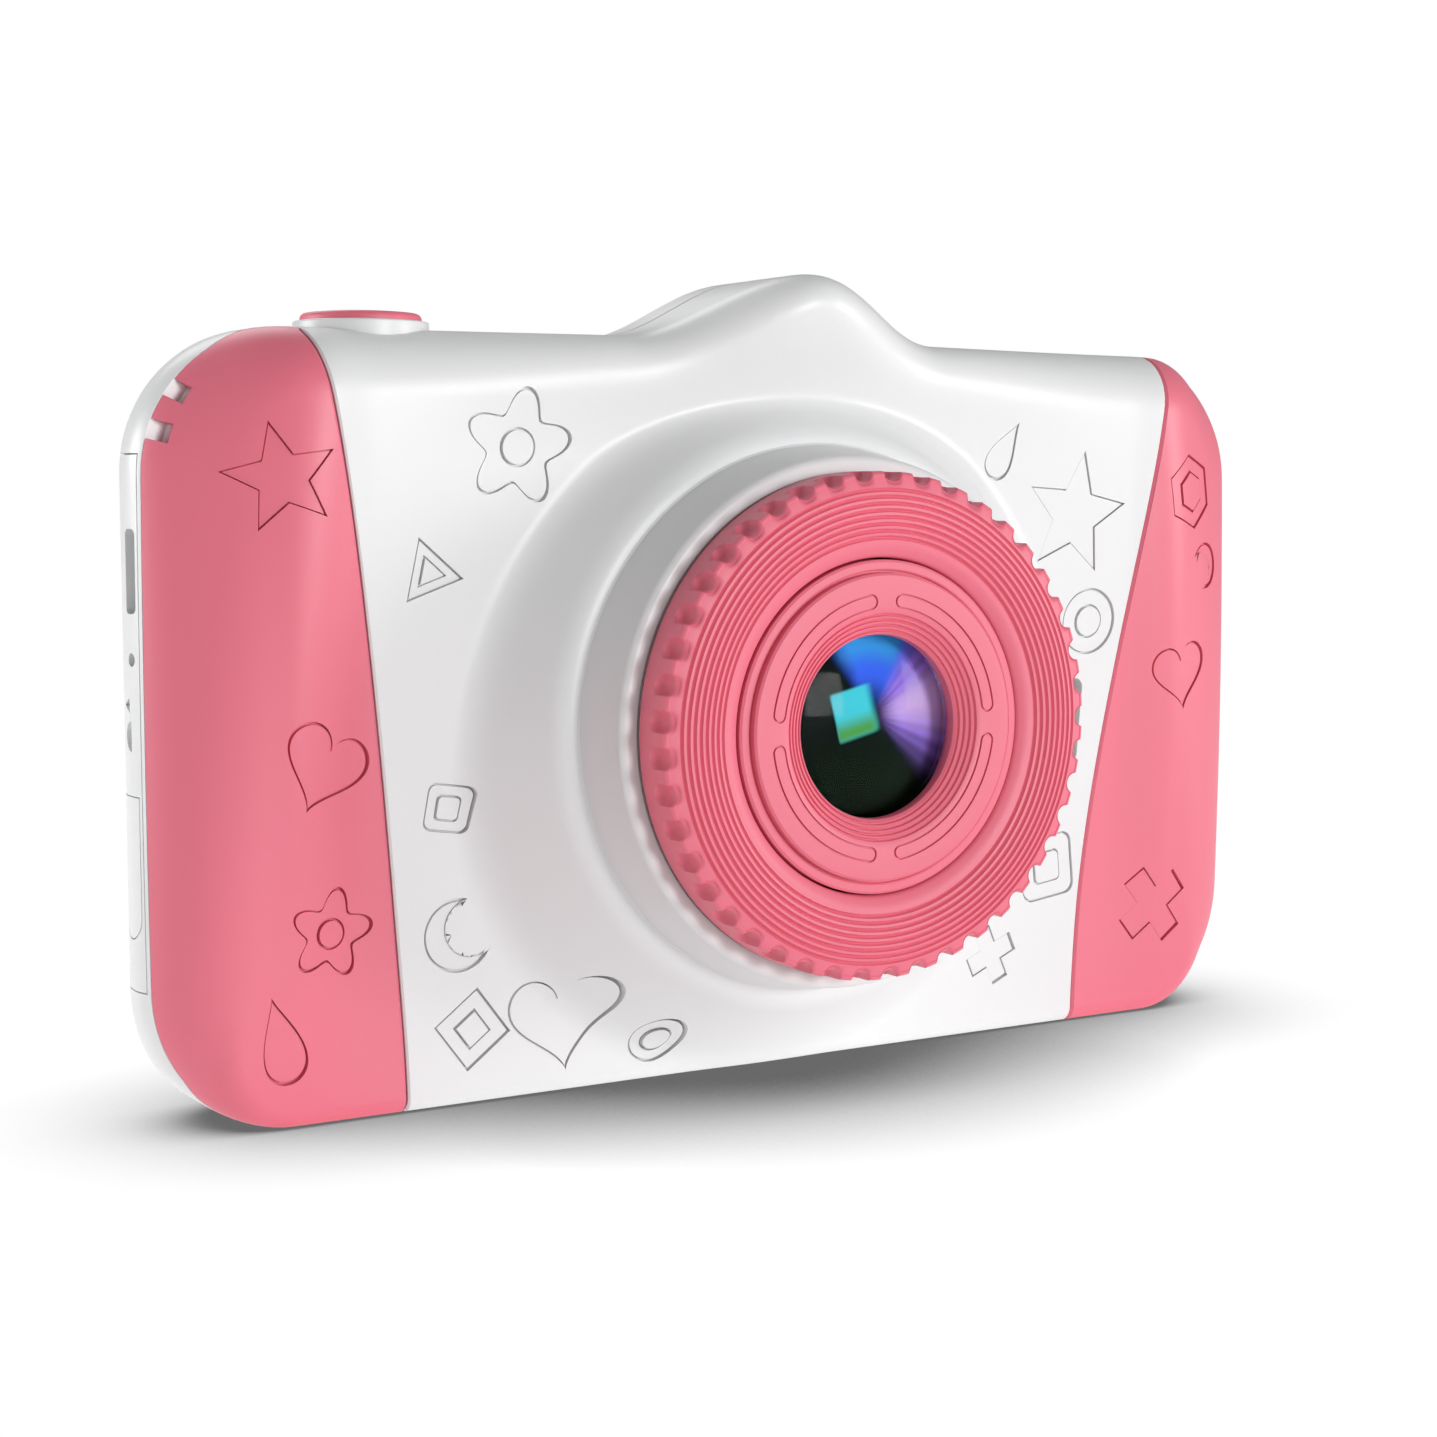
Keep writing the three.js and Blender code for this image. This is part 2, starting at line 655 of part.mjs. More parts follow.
const screenWindow = () =>
  plateY(
    roundedRectangle(WINDOW.width, WINDOW.height, 3),
    WINDOW.x,
    WINDOW.z,
    WINDOW.glassY,
    REAR_Y - 0.1,
  );

const keypad = () => block([-53.6, 3, 13], [-30.6, 4.2, 57.5]);

const key = ({ x, z, radius }) =>
  join(
    barY(x, z, radius, KEY_FRONT_Y + 0.3, REAR_Y + 0.7, 24),
    barY(x, z, radius + 0.7, KEY_FRONT_Y, KEY_FRONT_Y + 0.6, 24),
  );

const caseScrew = ([x, z]) =>
  cut(
    join(barY(x, z, 2, REAR_Y - 1.4, REAR_Y - 0.3, 16), barY(x, z, 0.7, -3, REAR_Y - 1.2, 12)),
    block([x - 1.3, REAR_Y - 0.8, z - 0.3], [x + 1.3, REAR_Y, z + 0.3]),
    block([x - 0.3, REAR_Y - 0.8, z - 1.3], [x + 0.3, REAR_Y, z + 1.3]),
  );

// ---------------------------------------------------------------- materials
const FINISH = {
  white: { color: 0xf4f4f4, roughness: 0.32, metalness: 0 },
  pink: { color: 0xef7389, roughness: 0.42, metalness: 0 },
  black: { color: 0x18181a, roughness: 0.5, metalness: 0 },
  glass: { color: 0x1c2430, roughness: 0.05, metalness: 0 },
  screen: { color: 0x0b0c10, roughness: 0.08, metalness: 0 },
  board: { color: 0x1f6b3a, roughness: 0.5, metalness: 0 },
  foil: { color: 0xb9bcc2, roughness: 0.4, metalness: 0.6 },
  steel: { color: 0xa9adb3, roughness: 0.3, metalness: 1 },
  rubber: { color: 0xd9dadc, roughness: 0.7, metalness: 0 },
};

const camera = new THREE.Group();

function add(name, finish, body) {
  const mesh = new THREE.Mesh(geometryOf(body), new THREE.MeshStandardMaterial(FINISH[finish]));
  mesh.name = name;
  camera.add(mesh);
}

add("front_shell", "white", frontShell());
add("left_grip", "pink", leftGrip());
add("right_grip", "pink", rightGrip());
add("rear_shell", "white", rearShell());
add("side_panel", "white", sidePanel());
add("card_door", "rubber", cardDoor());
add("lens_ring", "pink", lensRing());
add("ring_retainer", "white", ringRetainer());
add("lens_bezel", "pink", lensBezel());
add("lens_window", "glass", lensWindow());
add("lens_baffle", "black", lensBaffle());
add("inner_lens", "glass", innerLens());
add("lens_holder", "black", lensHolder());
add("image_sensor", "screen", imageSensor());
add("sensor_board", "board", sensorBoard());
add("shutter_collar", "white", shutterCollar());
add("shutter_button", "pink", shutterButton());
add("shutter_spring", "steel", shutterSpring());
add("shutter_switch", "black", shutterSwitch());
add("main_board", "board", mainBoard());
add("battery", "foil", battery());
add("battery_lead", "black", batteryLead());
add("usb_socket", "steel", usbSocket());
add("card_socket", "steel", cardSocket());
add("memory_card", "black", memoryCard());
add("microphone", "steel", microphone());
add("speaker", "black", speaker());
add("lcd_panel", "screen", lcdPanel());
add("lcd_frame", "black", lcdFrame());
add("screen_window", "screen", screenWindow());
add("keypad", "rubber", keypad());
Object.entries(KEYS).forEach(([name, place]) => add(name, "pink", key(place)));
SCREW_PLACES.forEach((place, i) => add(`case_screw_${i + 1}`, "steel", caseScrew(place)));

export default camera;
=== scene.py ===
"""Looks for the kids digital camera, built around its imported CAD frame.

Lengths in this script are millimetres, in the frame's own axes: +X to the right seen from the
front, +Y to the back, +Z up, with the lens facing -Y. Meshes are written out in metres.
"""

import math

import bmesh
import bpy
import numpy as np
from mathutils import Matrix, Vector


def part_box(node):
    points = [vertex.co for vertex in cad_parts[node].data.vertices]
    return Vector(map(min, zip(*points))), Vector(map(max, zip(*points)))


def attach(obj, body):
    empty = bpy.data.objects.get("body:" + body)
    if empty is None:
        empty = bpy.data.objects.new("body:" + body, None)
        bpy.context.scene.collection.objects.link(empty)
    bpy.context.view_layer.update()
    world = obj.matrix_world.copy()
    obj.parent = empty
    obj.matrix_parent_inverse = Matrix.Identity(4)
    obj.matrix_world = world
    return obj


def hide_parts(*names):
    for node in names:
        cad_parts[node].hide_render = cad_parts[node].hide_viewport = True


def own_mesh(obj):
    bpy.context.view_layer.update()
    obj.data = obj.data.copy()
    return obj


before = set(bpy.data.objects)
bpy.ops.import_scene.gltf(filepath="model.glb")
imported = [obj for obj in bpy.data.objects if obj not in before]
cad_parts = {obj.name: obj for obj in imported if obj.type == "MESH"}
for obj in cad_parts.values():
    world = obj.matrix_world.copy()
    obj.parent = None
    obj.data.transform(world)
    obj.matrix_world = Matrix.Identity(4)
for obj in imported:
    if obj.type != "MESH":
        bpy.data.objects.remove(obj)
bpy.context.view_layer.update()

MM = 0.001
scene = bpy.context.scene


# ---------------------------------------------------------------- sizes read from the frame
def box_mm(node):
    low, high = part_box(node)
    return np.array(low) / MM, np.array(high) / MM


def centre_mm(node):
    low, high = box_mm(node)
    return (low + high) / 2


rear_low, rear_high = box_mm("rear_shell")
grip_high = box_mm("left_grip")[1]
ring_low, ring_high = box_mm("lens_ring")
bezel_low, bezel_high = box_mm("lens_bezel")
panel_low, panel_high = box_mm("side_panel")
door_low, door_high = box_mm("card_door")
window_low, window_high = box_mm("screen_window")
collar_low, collar_high = box_mm("shutter_collar")
button_low, button_high = box_mm("shutter_button")
speaker_centre = centre_mm("speaker")

HALF_WIDTH = (rear_high[0] - rear_low[0]) / 2
HEIGHT = grip_high[2]
HUMP_RISE = rear_high[2] - HEIGHT
SPLIT_Y = grip_high[1]
REAR_Y = rear_high[1]
LENS_Z = (ring_low[2] + ring_high[2]) / 2
RING_R = (ring_high[0] - ring_low[0]) / 2
BEZEL_R = (bezel_high[0] - bezel_low[0]) / 2
RING_FRONT_Y = ring_low[1]
SHUTTER_X, SHUTTER_Y = centre_mm("shutter_button")[:2]
KEY_NAMES = [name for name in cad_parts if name.startswith("key_")]
SCREW_NAMES = [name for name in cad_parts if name.startswith("case_screw_")]

# The casing's form, the same as the CAD's.
CORNER_R = 13.0
HUMP_HALF = 18.0
WIDE_Y = -0.5
FACE_Y = -6.1
LEAN, LEAN_START_Z, LEAN_REACH, LEAN_END_X, LEAN_FADE = 4.2, 10.0, 56.0, 46.0, 14.0
SWELL, SWELL_START_X, SWELL_REACH = 1.6, 43.0, 8.0
BROW, BROW_HALF, BROW_START_Z, BROW_REACH = 6.8, 48.0, 60.0, 17.0
SEAM_X, SEAM_SPREAD, SEAM_REACH = 39.0, 8.3, 66.0
END_ROUND, TOP_ROUND, HUMP_ROUND, UNDER_ROUND = 9.0, 6.0, 4.0, 1.6
REAR_TOP_ROUND, REAR_UNDER_ROUND, LEAST_ROUND = 8.0, 4.0, 0.6
BELL_R = 28.6
BELL_SLOPE = 1.25
BELL_FOOT_R, BELL_FOOT_Y, BELL_BLEND = 31.0, -11.07, 2.0
BARREL_Y = -21.4
BARREL_BORE_R = 17.3
GRIP_WALL = 1.1
CASE_WALL = 2.6
RING_TEETH = 45
LENS_HOLE_R = 8.5

HAIRLINE = 0.12  # the gap drawn between two fitted pieces
FAR = 150.0


# ---------------------------------------------------------------- mesh tools
def mesh_object(name, points, faces):
    """A new object from points in millimetres, with its faces turned outwards."""
    mesh = bpy.data.meshes.new(name)
    mesh.from_pydata((np.asarray(points, float) * MM).tolist(), [], faces)
    work = bmesh.new()
    work.from_mesh(mesh)
    bmesh.ops.remove_doubles(work, verts=work.verts, dist=1e-7)
    bmesh.ops.recalc_face_normals(work, faces=work.faces)
    work.to_mesh(mesh)
    work.free()
    made = bpy.data.objects.new(name, mesh)
    scene.collection.objects.link(made)
    return made


def duplicate(source):
    copy = source.copy()
    copy.data = source.data.copy()
    scene.collection.objects.link(copy)
    return copy


def boolean(target, tool, operation):
    """Applies the tool to the target and removes the tool."""
    modifier = target.modifiers.new("boolean", "BOOLEAN")
    modifier.operation = operation
    modifier.solver = "MANIFOLD"
    modifier.object = tool
    graph = bpy.context.evaluated_depsgraph_get()
    result = bpy.data.meshes.new_from_object(target.evaluated_get(graph))
    target.modifiers.clear()
    target.data = result
    bpy.data.objects.remove(tool)
    return target


def cut(target, *tools):
    for tool in tools:
        boolean(target, tool, "DIFFERENCE")
    return target


def add(target, *tools):
    for tool in tools:
        boolean(target, tool, "UNION")
    return target


def common(target, tool):
    return boolean(target, tool, "INTERSECT")


def joined(objects):
    """Separate closed pieces as one object, for use as one cutting tool."""
    points, faces = [], []
    for piece in objects:
        start = len(points)
        points += [np.array(v.co) / MM for v in piece.data.vertices]
        faces += [[start + i for i in p.vertices] for p in piece.data.polygons]
        bpy.data.objects.remove(piece)
    return mesh_object("tool", points, faces)


def rings_object(name, rings, first=None, last=None, closed=False):
    """A skin over rings of points: closed on itself, or capped to a first and a last point."""
    rings = np.asarray(rings, float)
    count, around = rings.shape[:2]
    points = rings.reshape(-1, 3).tolist()
    after = np.roll(np.arange(around), -1)
    faces = []
    for r in range(count if closed else count - 1):
        low, high = r * around, ((r + 1) % count) * around
        faces += [
            (low + i, low + after[i], high + after[i], high + i) for i in range(around)
        ]
    for end, ring in ((first, 0), (last, count - 1)):
        if end is not None:
            points.append(end)
            base, tip = ring * around, len(points) - 1
            faces += [(base + i, base + after[i], tip) for i in range(around)]
    return mesh_object(name, points, faces)


def block(low, high):
    (x0, y0, z0), (x1, y1, z1) = low, high
    loop = [(x0, y0), (x1, y0), (x1, y1), (x0, y1)]
    points = [(x, y, z) for z in (z0, z1) for x, y in loop]
    sides = [(i, (i + 1) % 4, (i + 1) % 4 + 4, i + 4) for i in range(4)]
    return mesh_object("tool", points, [(0, 1, 2, 3), (4, 5, 6, 7)] + sides)


def turned(name, profile, segments=96, closed=True, centre=(0.0, None), axis="Y"):
    """A lathe about the lens axis, or about an upright axis through `centre` where axis is Z.

    The profile is (radius, place along the axis). It closes on itself, or starts and ends on the
    axis when `closed` is False.
    """
    angles = 2 * math.pi * np.arange(segments) / segments
    cos, sin = np.cos(angles), np.sin(angles)
    u, v = centre[0], LENS_Z if centre[1] is None else centre[1]

    def place(radius, along):
        a, b = u + radius * cos, v + radius * sin
        level = np.full(segments, along)
        return np.stack([a, level, b] if axis == "Y" else [a, b, level], axis=1)

    if closed:
        return rings_object(name, [place(r, y) for r, y in profile], closed=True)
    inner = [place(r, y) for r, y in profile[1:-1]]
    ends = [place(0, profile[0][1])[0], place(0, profile[-1][1])[0]]
    return rings_object(name, inner, first=ends[0], last=ends[1])


def bar_y(x, z, radius, y0, y1, segments=48):
    profile = [(0, y0), (radius, y0), (radius, y1), (0, y1)]
    return turned("tool", profile, segments, closed=False, centre=(x, z))


def prism_y(outer, y0, y1, inner=None, grow=0.0):
    """A closed loop of (x, z) points extruded along Y, with an optional hole of as many points.

    `grow` spreads the loop at y1, away from its middle, for a chamfered edge.
    """
    outer = np.asarray(outer, float)
    middle = outer.mean(axis=0)
    count = len(outer)

    def level(loop, y, spread):
        away = loop - middle
        reach = np.linalg.norm(away, axis=1, keepdims=True)
        moved = loop + away / np.maximum(reach, 1e-9) * spread
        return np.stack([moved[:, 0], np.full(len(loop), y), moved[:, 1]], axis=1)

    if inner is not None:
        inner = np.asarray(inner, float)
        loops = [level(outer, y0, 0), level(outer, y1, 0), level(inner, y1, 0), level(inner, y0, 0)]
        return rings_object("tool", loops, closed=True)
    points = np.concatenate([level(outer, y0, 0), level(outer, y1, grow)])
    after = np.roll(np.arange(count), -1)
    sides = [(i, after[i], count + after[i], count + i) for i in range(count)]
    caps = [tuple(range(count)), tuple(range(count, 2 * count))]
    return mesh_object("tool", points, sides + caps)


def prism_x(loop, x0, x1):
    """A closed loop of (y, z) points extruded along X."""
    loop = np.asarray(loop, float)
    count = len(loop)
    points = [(x, y, z) for x in (x0, x1) for y, z in loop]
    after = np.roll(np.arange(count), -1)
    sides = [(i, after[i], count + after[i], count + i) for i in range(count)]
    return mesh_object("tool", points, sides + [tuple(range(count)), tuple(range(count, 2 * count))])


def tube(path, radius, sides=4, closed=False):
    """A tube of a few flat sides along a path of points, to chamfer the edges that it follows."""
    path = np.asarray(path, float)
    if closed:
        ahead = np.roll(path, -1, axis=0) - np.roll(path, 1, axis=0)
    else:
        ahead = np.gradient(path, axis=0)
    ahead /= np.linalg.norm(ahead, axis=1, keepdims=True)
    depth = np.array([0.0, 1.0, 0.0])
    across = np.cross(ahead, depth)
    weak = np.linalg.norm(across, axis=1) < 0.2
    across[weak] = np.array([1.0, 0.0, 0.0])
    across -= (across * ahead).sum(axis=1, keepdims=True) * ahead
    across /= np.linalg.norm(across, axis=1, keepdims=True)
    up = np.cross(ahead, across)
    angles = 2 * math.pi * np.arange(sides) / sides
    rings = [
        [p + radius * (math.cos(a) * c + math.sin(a) * u) for a in angles]
        for p, c, u in zip(path, across, up)
    ]
    if closed:
        return rings_object("tool", rings, closed=True)
    return rings_object("tool", rings, first=path[0], last=path[-1])


def rounded_rectangle(width, height, radius, centre=(0.0, 0.0), steps=10):
    a, b = width / 2 - radius, height / 2 - radius
    points = []
    for turn, (cx, cz) in enumerate([(a, -b), (a, b), (-a, b), (-a, -b)]):
        for i in range(steps + 1):
            angle = (turn - 1 + i / steps) * math.pi / 2
            points.append((centre[0] + cx + radius * math.cos(angle),
                           centre[1] + cz + radius * math.sin(angle)))
    return np.array(points)


def arc(centre, radius, start, end, steps):
    """Points on an arc in (radius, y) or (x, z), angles in degrees."""
    angles = np.radians(np.linspace(start, end, steps))
    return [(centre[0] + radius * math.cos(a), centre[1] + radius * math.sin(a)) for a in angles]


# ---------------------------------------------------------------- the casing's form
def smooth(t):
    t = np.clip(t, 0, 1)
    return t * t * (3 - 2 * t)


def soft_min(a, b, reach):
    near = np.maximum(0, reach - np.abs(a - b)) / reach
    return np.minimum(a, b) - near * near * reach / 4


def bump_shape(x, half):
    """A cosine hill of height one over |x| < half."""
    return np.where(np.abs(x) < half, (1 + np.cos(math.pi * x / half)) / 2, 0)


def face_y(x, z):
    ends = smooth((np.abs(x) - LEAN_END_X) / LEAN_FADE)
    lean = LEAN * smooth((z - LEAN_START_Z) / LEAN_REACH) * (1 - ends)
    middle = HEIGHT / 2
    up_down = np.maximum(0, 1 - ((z - middle) / middle) ** 2)
    swell = SWELL * smooth((np.abs(x) - SWELL_START_X) / SWELL_REACH) * up_down
    brow = BROW * bump_shape(x, BROW_HALF) * smooth((z - BROW_START_Z) / BROW_REACH)
    return FACE_Y - lean - swell - brow


def bell_y(radius):
    return BELL_FOOT_Y + BELL_SLOPE * (radius - BELL_FOOT_R)


def front_y(x, z, inset=0.0):
    radius = np.hypot(x, z - LENS_Z) + inset
    return soft_min(face_y(x, z), bell_y(radius), BELL_BLEND) + inset


def outline(detail):
    """The front view's edge, anticlockwise from the lower left: x, z and the outward normal."""
    corner_x, low_z, high_z = HALF_WIDTH - CORNER_R, CORNER_R, HEIGHT - CORNER_R
    corner_steps, side_steps = int(22 * detail), int(30 * detail)
    bottom_steps, top_steps = int(70 * detail), int(170 * detail)
    rows = []

    def corner(x, z, start):
        for i in range(corner_steps):
            angle = start + math.pi / 2 * i / corner_steps
            nx, nz = math.cos(angle), math.sin(angle)
            rows.append((x + CORNER_R * nx, z + CORNER_R * nz, nx, nz))

    def side(x, start, end, nx):
        rows.extend((x, start + (end - start) * i / side_steps, nx, 0) for i in range(side_steps))

    for i in range(bottom_steps):
        rows.append((-corner_x + 2 * corner_x * i / bottom_steps, 0, 0, -1))
    corner(corner_x, low_z, -math.pi / 2)
    side(HALF_WIDTH, low_z, high_z, 1)
    corner(corner_x, high_z, 0)
    for i in range(top_steps):
        x = corner_x - 2 * corner_x * i / top_steps
        slope = 0.0
        if abs(x) < HUMP_HALF:
            slope = -HUMP_RISE * math.pi * math.sin(math.pi * x / HUMP_HALF) / (2 * HUMP_HALF)
        length = math.hypot(1, slope)
        rise = HUMP_RISE * float(bump_shape(x, HUMP_HALF))
        rows.append((x, HEIGHT + rise, -slope / length, 1 / length))
    corner(-corner_x, high_z, math.pi / 2)
    side(-HALF_WIDTH, high_z, low_z, -1)
    corner(-corner_x, low_z, math.pi)
    return np.array(rows).T


def barrel_profile():
    """The stepped barrel inside the bell, from the cone's end inwards, as (radius, y)."""
    start, lip, bend, foot = (BELL_R, bell_y(BELL_R)), (28.0, -14.82), (27.3, -15.4), (26.2, -15.4)
    points = []
    for t in np.linspace(0, 1, 12):
        weights = ((1 - t) ** 3, 3 * t * (1 - t) ** 2, 3 * t * t * (1 - t), t ** 3)
        points.append(tuple(sum(w * p[k] for w, p in zip(weights, (start, lip, bend, foot)))
                            for k in (0, 1)))
    points += [(26.0, -15.55), (25.7, -17.2), (25.3, -19.0)]
    points += [(24.3 + 0.75 * math.cos(a), -20.65 - 0.75 * math.sin(a))
               for a in np.radians(np.linspace(12, 90, 8))]
    shadow_r = RING_R - 0.05
    points += [(shadow_r, BARREL_Y), (shadow_r - 0.05, BARREL_Y + 0.8)]
    points += [(22.4, BARREL_Y + 0.8), (22.35, BARREL_Y)]
    points += [(21.0, BARREL_Y)]
    return points


def envelope(inset, detail=1.0):
    """The whole casing as one closed solid, `inset` millimetres inside its outer skin."""
    x, z, nx, nz = outline(detail)
    round_steps, face_steps = max(3, int(14 * detail)), max(4, int(56 * detail))
    quarter = np.linspace(0, math.pi / 2, round_steps + 1)
    rings = []

    def ring(px, py, pz):
        rings.append(np.stack([px, py, pz], axis=1))

    upright = np.where(nz > 0, REAR_TOP_ROUND, REAR_UNDER_ROUND)
    radius = np.maximum(END_ROUND * nx * nx + upright * nz * nz - inset, LEAST_ROUND)
    drop = np.minimum(radius, REAR_Y - inset - WIDE_Y)
    for angle in quarter:
        reach = inset + radius * (1 - math.sin(angle))
        ring(x - nx * reach, REAR_Y - inset - drop * (1 - math.cos(angle)), z - nz * reach)
    ring(x - nx * inset, np.full_like(x, WIDE_Y), z - nz * inset)

    top_round = TOP_ROUND + (HUMP_ROUND - TOP_ROUND) * bump_shape(x, HUMP_HALF)
    upright = np.where(nz > 0, top_round, UNDER_ROUND)
    radius = np.maximum(END_ROUND * nx * nx + upright * nz * nz - inset, LEAST_ROUND)
    for angle in quarter[::-1]:
        reach = inset + radius * (1 - math.sin(angle))
        px, pz = x - nx * reach, z - nz * reach
        py = front_y(px, pz, inset)
        drop = np.minimum(radius, WIDE_Y - 0.05 - py)
        ring(px, py + drop * (1 - math.cos(angle)), pz)

    bearing = np.arctan2(pz - LENS_Z, px)
    bell = BELL_R - inset
    for t in np.linspace(0, 1, face_steps + 1)[1:-1]:
        qx = px + t * (bell * np.cos(bearing) - px)
        qz = pz + t * (LENS_Z + bell * np.sin(bearing) - pz)
        ring(qx, front_y(qx, qz, inset), qz)
    steps = barrel_profile()
    for r, y in steps if detail > 0.5 else steps[::3] + steps[-1:]:
        r -= inset
        ring(r * np.cos(bearing), np.full_like(x, y + inset), LENS_Z + r * np.sin(bearing))
    return rings_object(
        "envelope", rings, first=(0, REAR_Y - inset, LENS_Z), last=(0, BARREL_Y + inset, LENS_Z)
    )


# ---------------------------------------------------------------- seam between white and pink
def seam_x(z):
    return SEAM_X + SEAM_SPREAD * np.maximum(0, z / SEAM_REACH) ** 1.5


def grip_region(sign, shift):
    z = np.linspace(0, 76, 60)
    edge = np.stack([sign * (seam_x(z) - shift), z], axis=1).tolist()
    first = [(sign * FAR, -5), (sign * (seam_x(0) - shift), -5)]
    return prism_y(first + edge + [(sign * FAR, 76)], -FAR, SPLIT_Y)


def seam_path(sign):
    """The seam's line on the casing's skin, from the underside over the face to the top."""
    quarter = np.linspace(0, math.pi / 2, 10)
    path = [(seam_x(0), SPLIT_Y + 1, 0), (seam_x(0), SPLIT_Y - 0.5, 0)]

    def follow(z, drop=0.0):
        path.append((seam_x(z), front_y(seam_x(z), z) + drop, z))

    for angle in quarter[::-1]:
        follow(UNDER_ROUND * (1 - math.sin(angle)), UNDER_ROUND * (1 - math.cos(angle)))
    for z in np.linspace(UNDER_ROUND, HEIGHT - TOP_ROUND, 60)[1:-1]:
        follow(z)
    for angle in quarter:
        follow(HEIGHT - TOP_ROUND * (1 - math.sin(angle)), TOP_ROUND * (1 - math.cos(angle)))
    path.append((seam_x(HEIGHT), SPLIT_Y + 1, HEIGHT))
    return [(sign * x, float(y), z) for x, y, z in path]


# ---------------------------------------------------------------- engraved marks
def polar(radii, turn=0.0, stretch=(1.0, 1.0)):
    """A loop of points at the given distances from the middle, evenly spread in angle."""
    count = len(radii)
    angles = 2 * math.pi * np.arange(count) / count + math.radians(turn)
    return np.stack(
        [stretch[0] * radii * np.cos(angles), stretch[1] * radii * np.sin(angles)], axis=1
    )


def circle_mark():
    return polar(np.full(48, 0.5)), polar(np.full(48, 0.22))


def star_mark():
    loop = []
    for i in range(10):
        radius = 0.56 if i % 2 == 0 else 0.25
        angle = math.radians(90 + 36 * i)
        loop.append((radius * math.cos(angle), radius * math.sin(angle)))
    return np.array(loop), None


def polygon_mark(sides, hole=0.0):
    corner = polar(np.full(sides, 0.55), turn=90)
    ends = np.roll(corner, -1, axis=0)
    steps = np.linspace(0, 1, 12, endpoint=False)
    loop = np.array([a + (b - a) * t for a, b in zip(corner, ends) for t in steps])
    return loop, loop * hole if hole else None


def heart_mark():
    t = np.linspace(0, 2 * math.pi, 72, endpoint=False)
    x = 16 * np.sin(t) ** 3
    z = 13 * np.cos(t) - 5 * np.cos(2 * t) - 2 * np.cos(3 * t) - np.cos(4 * t)
    return np.stack([x, z], axis=1) / 32, None


def crescent_mark():
    outer = arc((0, 0), 0.5, 50, 310, 40)
    inner = arc((0.22, 0), 0.4, 288, 72, 32)
    return np.array(outer + inner), None


def plus_mark():
    arm, reach = 0.17, 0.5
    quarter = [(arm, reach), (arm, arm), (reach, arm)]
    loop = []
    for turn in range(4):
        c, s = round(math.cos(-turn * math.pi / 2)), round(math.sin(-turn * math.pi / 2))
        loop += [(c * x - s * z, s * x + c * z) for x, z in quarter]
    return np.array(loop), None


def drop_mark():
    t = np.linspace(0, 2 * math.pi, 60, endpoint=False)
    x = 0.36 * np.sin(t) * np.sin(t / 2) ** 1.6
    return np.stack([x, 0.5 * np.cos(t)], axis=1), None


def square_mark():
    loop = rounded_rectangle(0.9, 0.9, 0.16)
    return loop, loop * 0.45


def flower_mark():
    t = np.linspace(0, 2 * math.pi, 100, endpoint=False)
    return polar(0.4 + 0.1 * np.cos(5 * t)), polar(np.full(100, 0.14))


def triangle_mark():
    return polygon_mark(3, 0.4)


def diamond_mark():
    return polygon_mark(4, 0.42)


def hexagon_mark():
    return polygon_mark(6, 0.5)


# Each mark: its shape, the middle's x and z, its size, and its turn in degrees.
MARKS = [
    (star_mark, -51.6, 58.2, 9.0, 12),
    (heart_mark, -47.6, 33.0, 8.6, -24),
    (flower_mark, -46.6, 17.6, 8.6, 8),
    (drop_mark, -51.4, 8.4, 8.4, 14),
    (flower_mark, -29.3, 61.0, 11.0, 10),
    (triangle_mark, -37.8, 49.8, 6.2, 20),
    (square_mark, -35.2, 28.2, 5.0, -8),
    (crescent_mark, -33.8, 16.2, 7.0, 24),
    (diamond_mark, -32.4, 7.2, 7.2, -8),
    (heart_mark, -23.4, 7.6, 10.4, 8),
    (circle_mark, -13.6, 4.4, 5.0, 0),
    (drop_mark, 25.9, 61.2, 6.6, -30),
    (star_mark, 35.6, 54.6, 12.0, -8),
    (circle_mark, 38.4, 43.4, 7.0, 0),
    (square_mark, 35.2, 17.2, 7.6, 8),
    (plus_mark, 28.0, 8.4, 6.2, 24),
    (hexagon_mark, 51.8, 57.0, 7.4, 10),
    (crescent_mark, 55.0, 49.0, 5.0, -150),
    (heart_mark, 51.2, 37.6, 8.0, 10),
    (plus_mark, 49.6, 12.0, 8.6, 38),
]
MARK_DEPTH = 0.15
LINE_DEPTH = 0.6
LINE_WIDTH = 0.26


def resized(loop, by):
    """The loop with its edge moved outwards by about `by` millimetres."""
    middle = loop.mean(axis=0)
    reach = np.linalg.norm(loop - middle, axis=1).mean()
    return middle + (loop - middle) * (1 + by / reach)


def mark_cutter(wanted):
    """The wanted marks: recesses with a floor that follows the skin, and a deeper line round them."""
    floors, lines = [], []
    for shape, x, z, size, turn in MARKS:
        if not wanted(x, z):
            continue
        c, s = math.cos(math.radians(turn)), math.sin(math.radians(turn))
        outer, inner = [
            None if loop is None else loop @ np.array([[c, s], [-s, c]]) * size + np.array([x, z])
            for loop in shape()
        ]
        floors.append(prism_y(outer, -40, 0, inner=inner))
        lines.append(prism_y(outer, -40, 0, inner=resized(outer, -LINE_WIDTH)))
        if inner is not None:
            lines.append(prism_y(resized(inner, LINE_WIDTH), -40, 0, inner=inner))
    recesses = cut(joined(floors), envelope(MARK_DEPTH, 0.7))
    grooves = cut(joined(lines), envelope(LINE_DEPTH, 0.7))
    return recesses, grooves


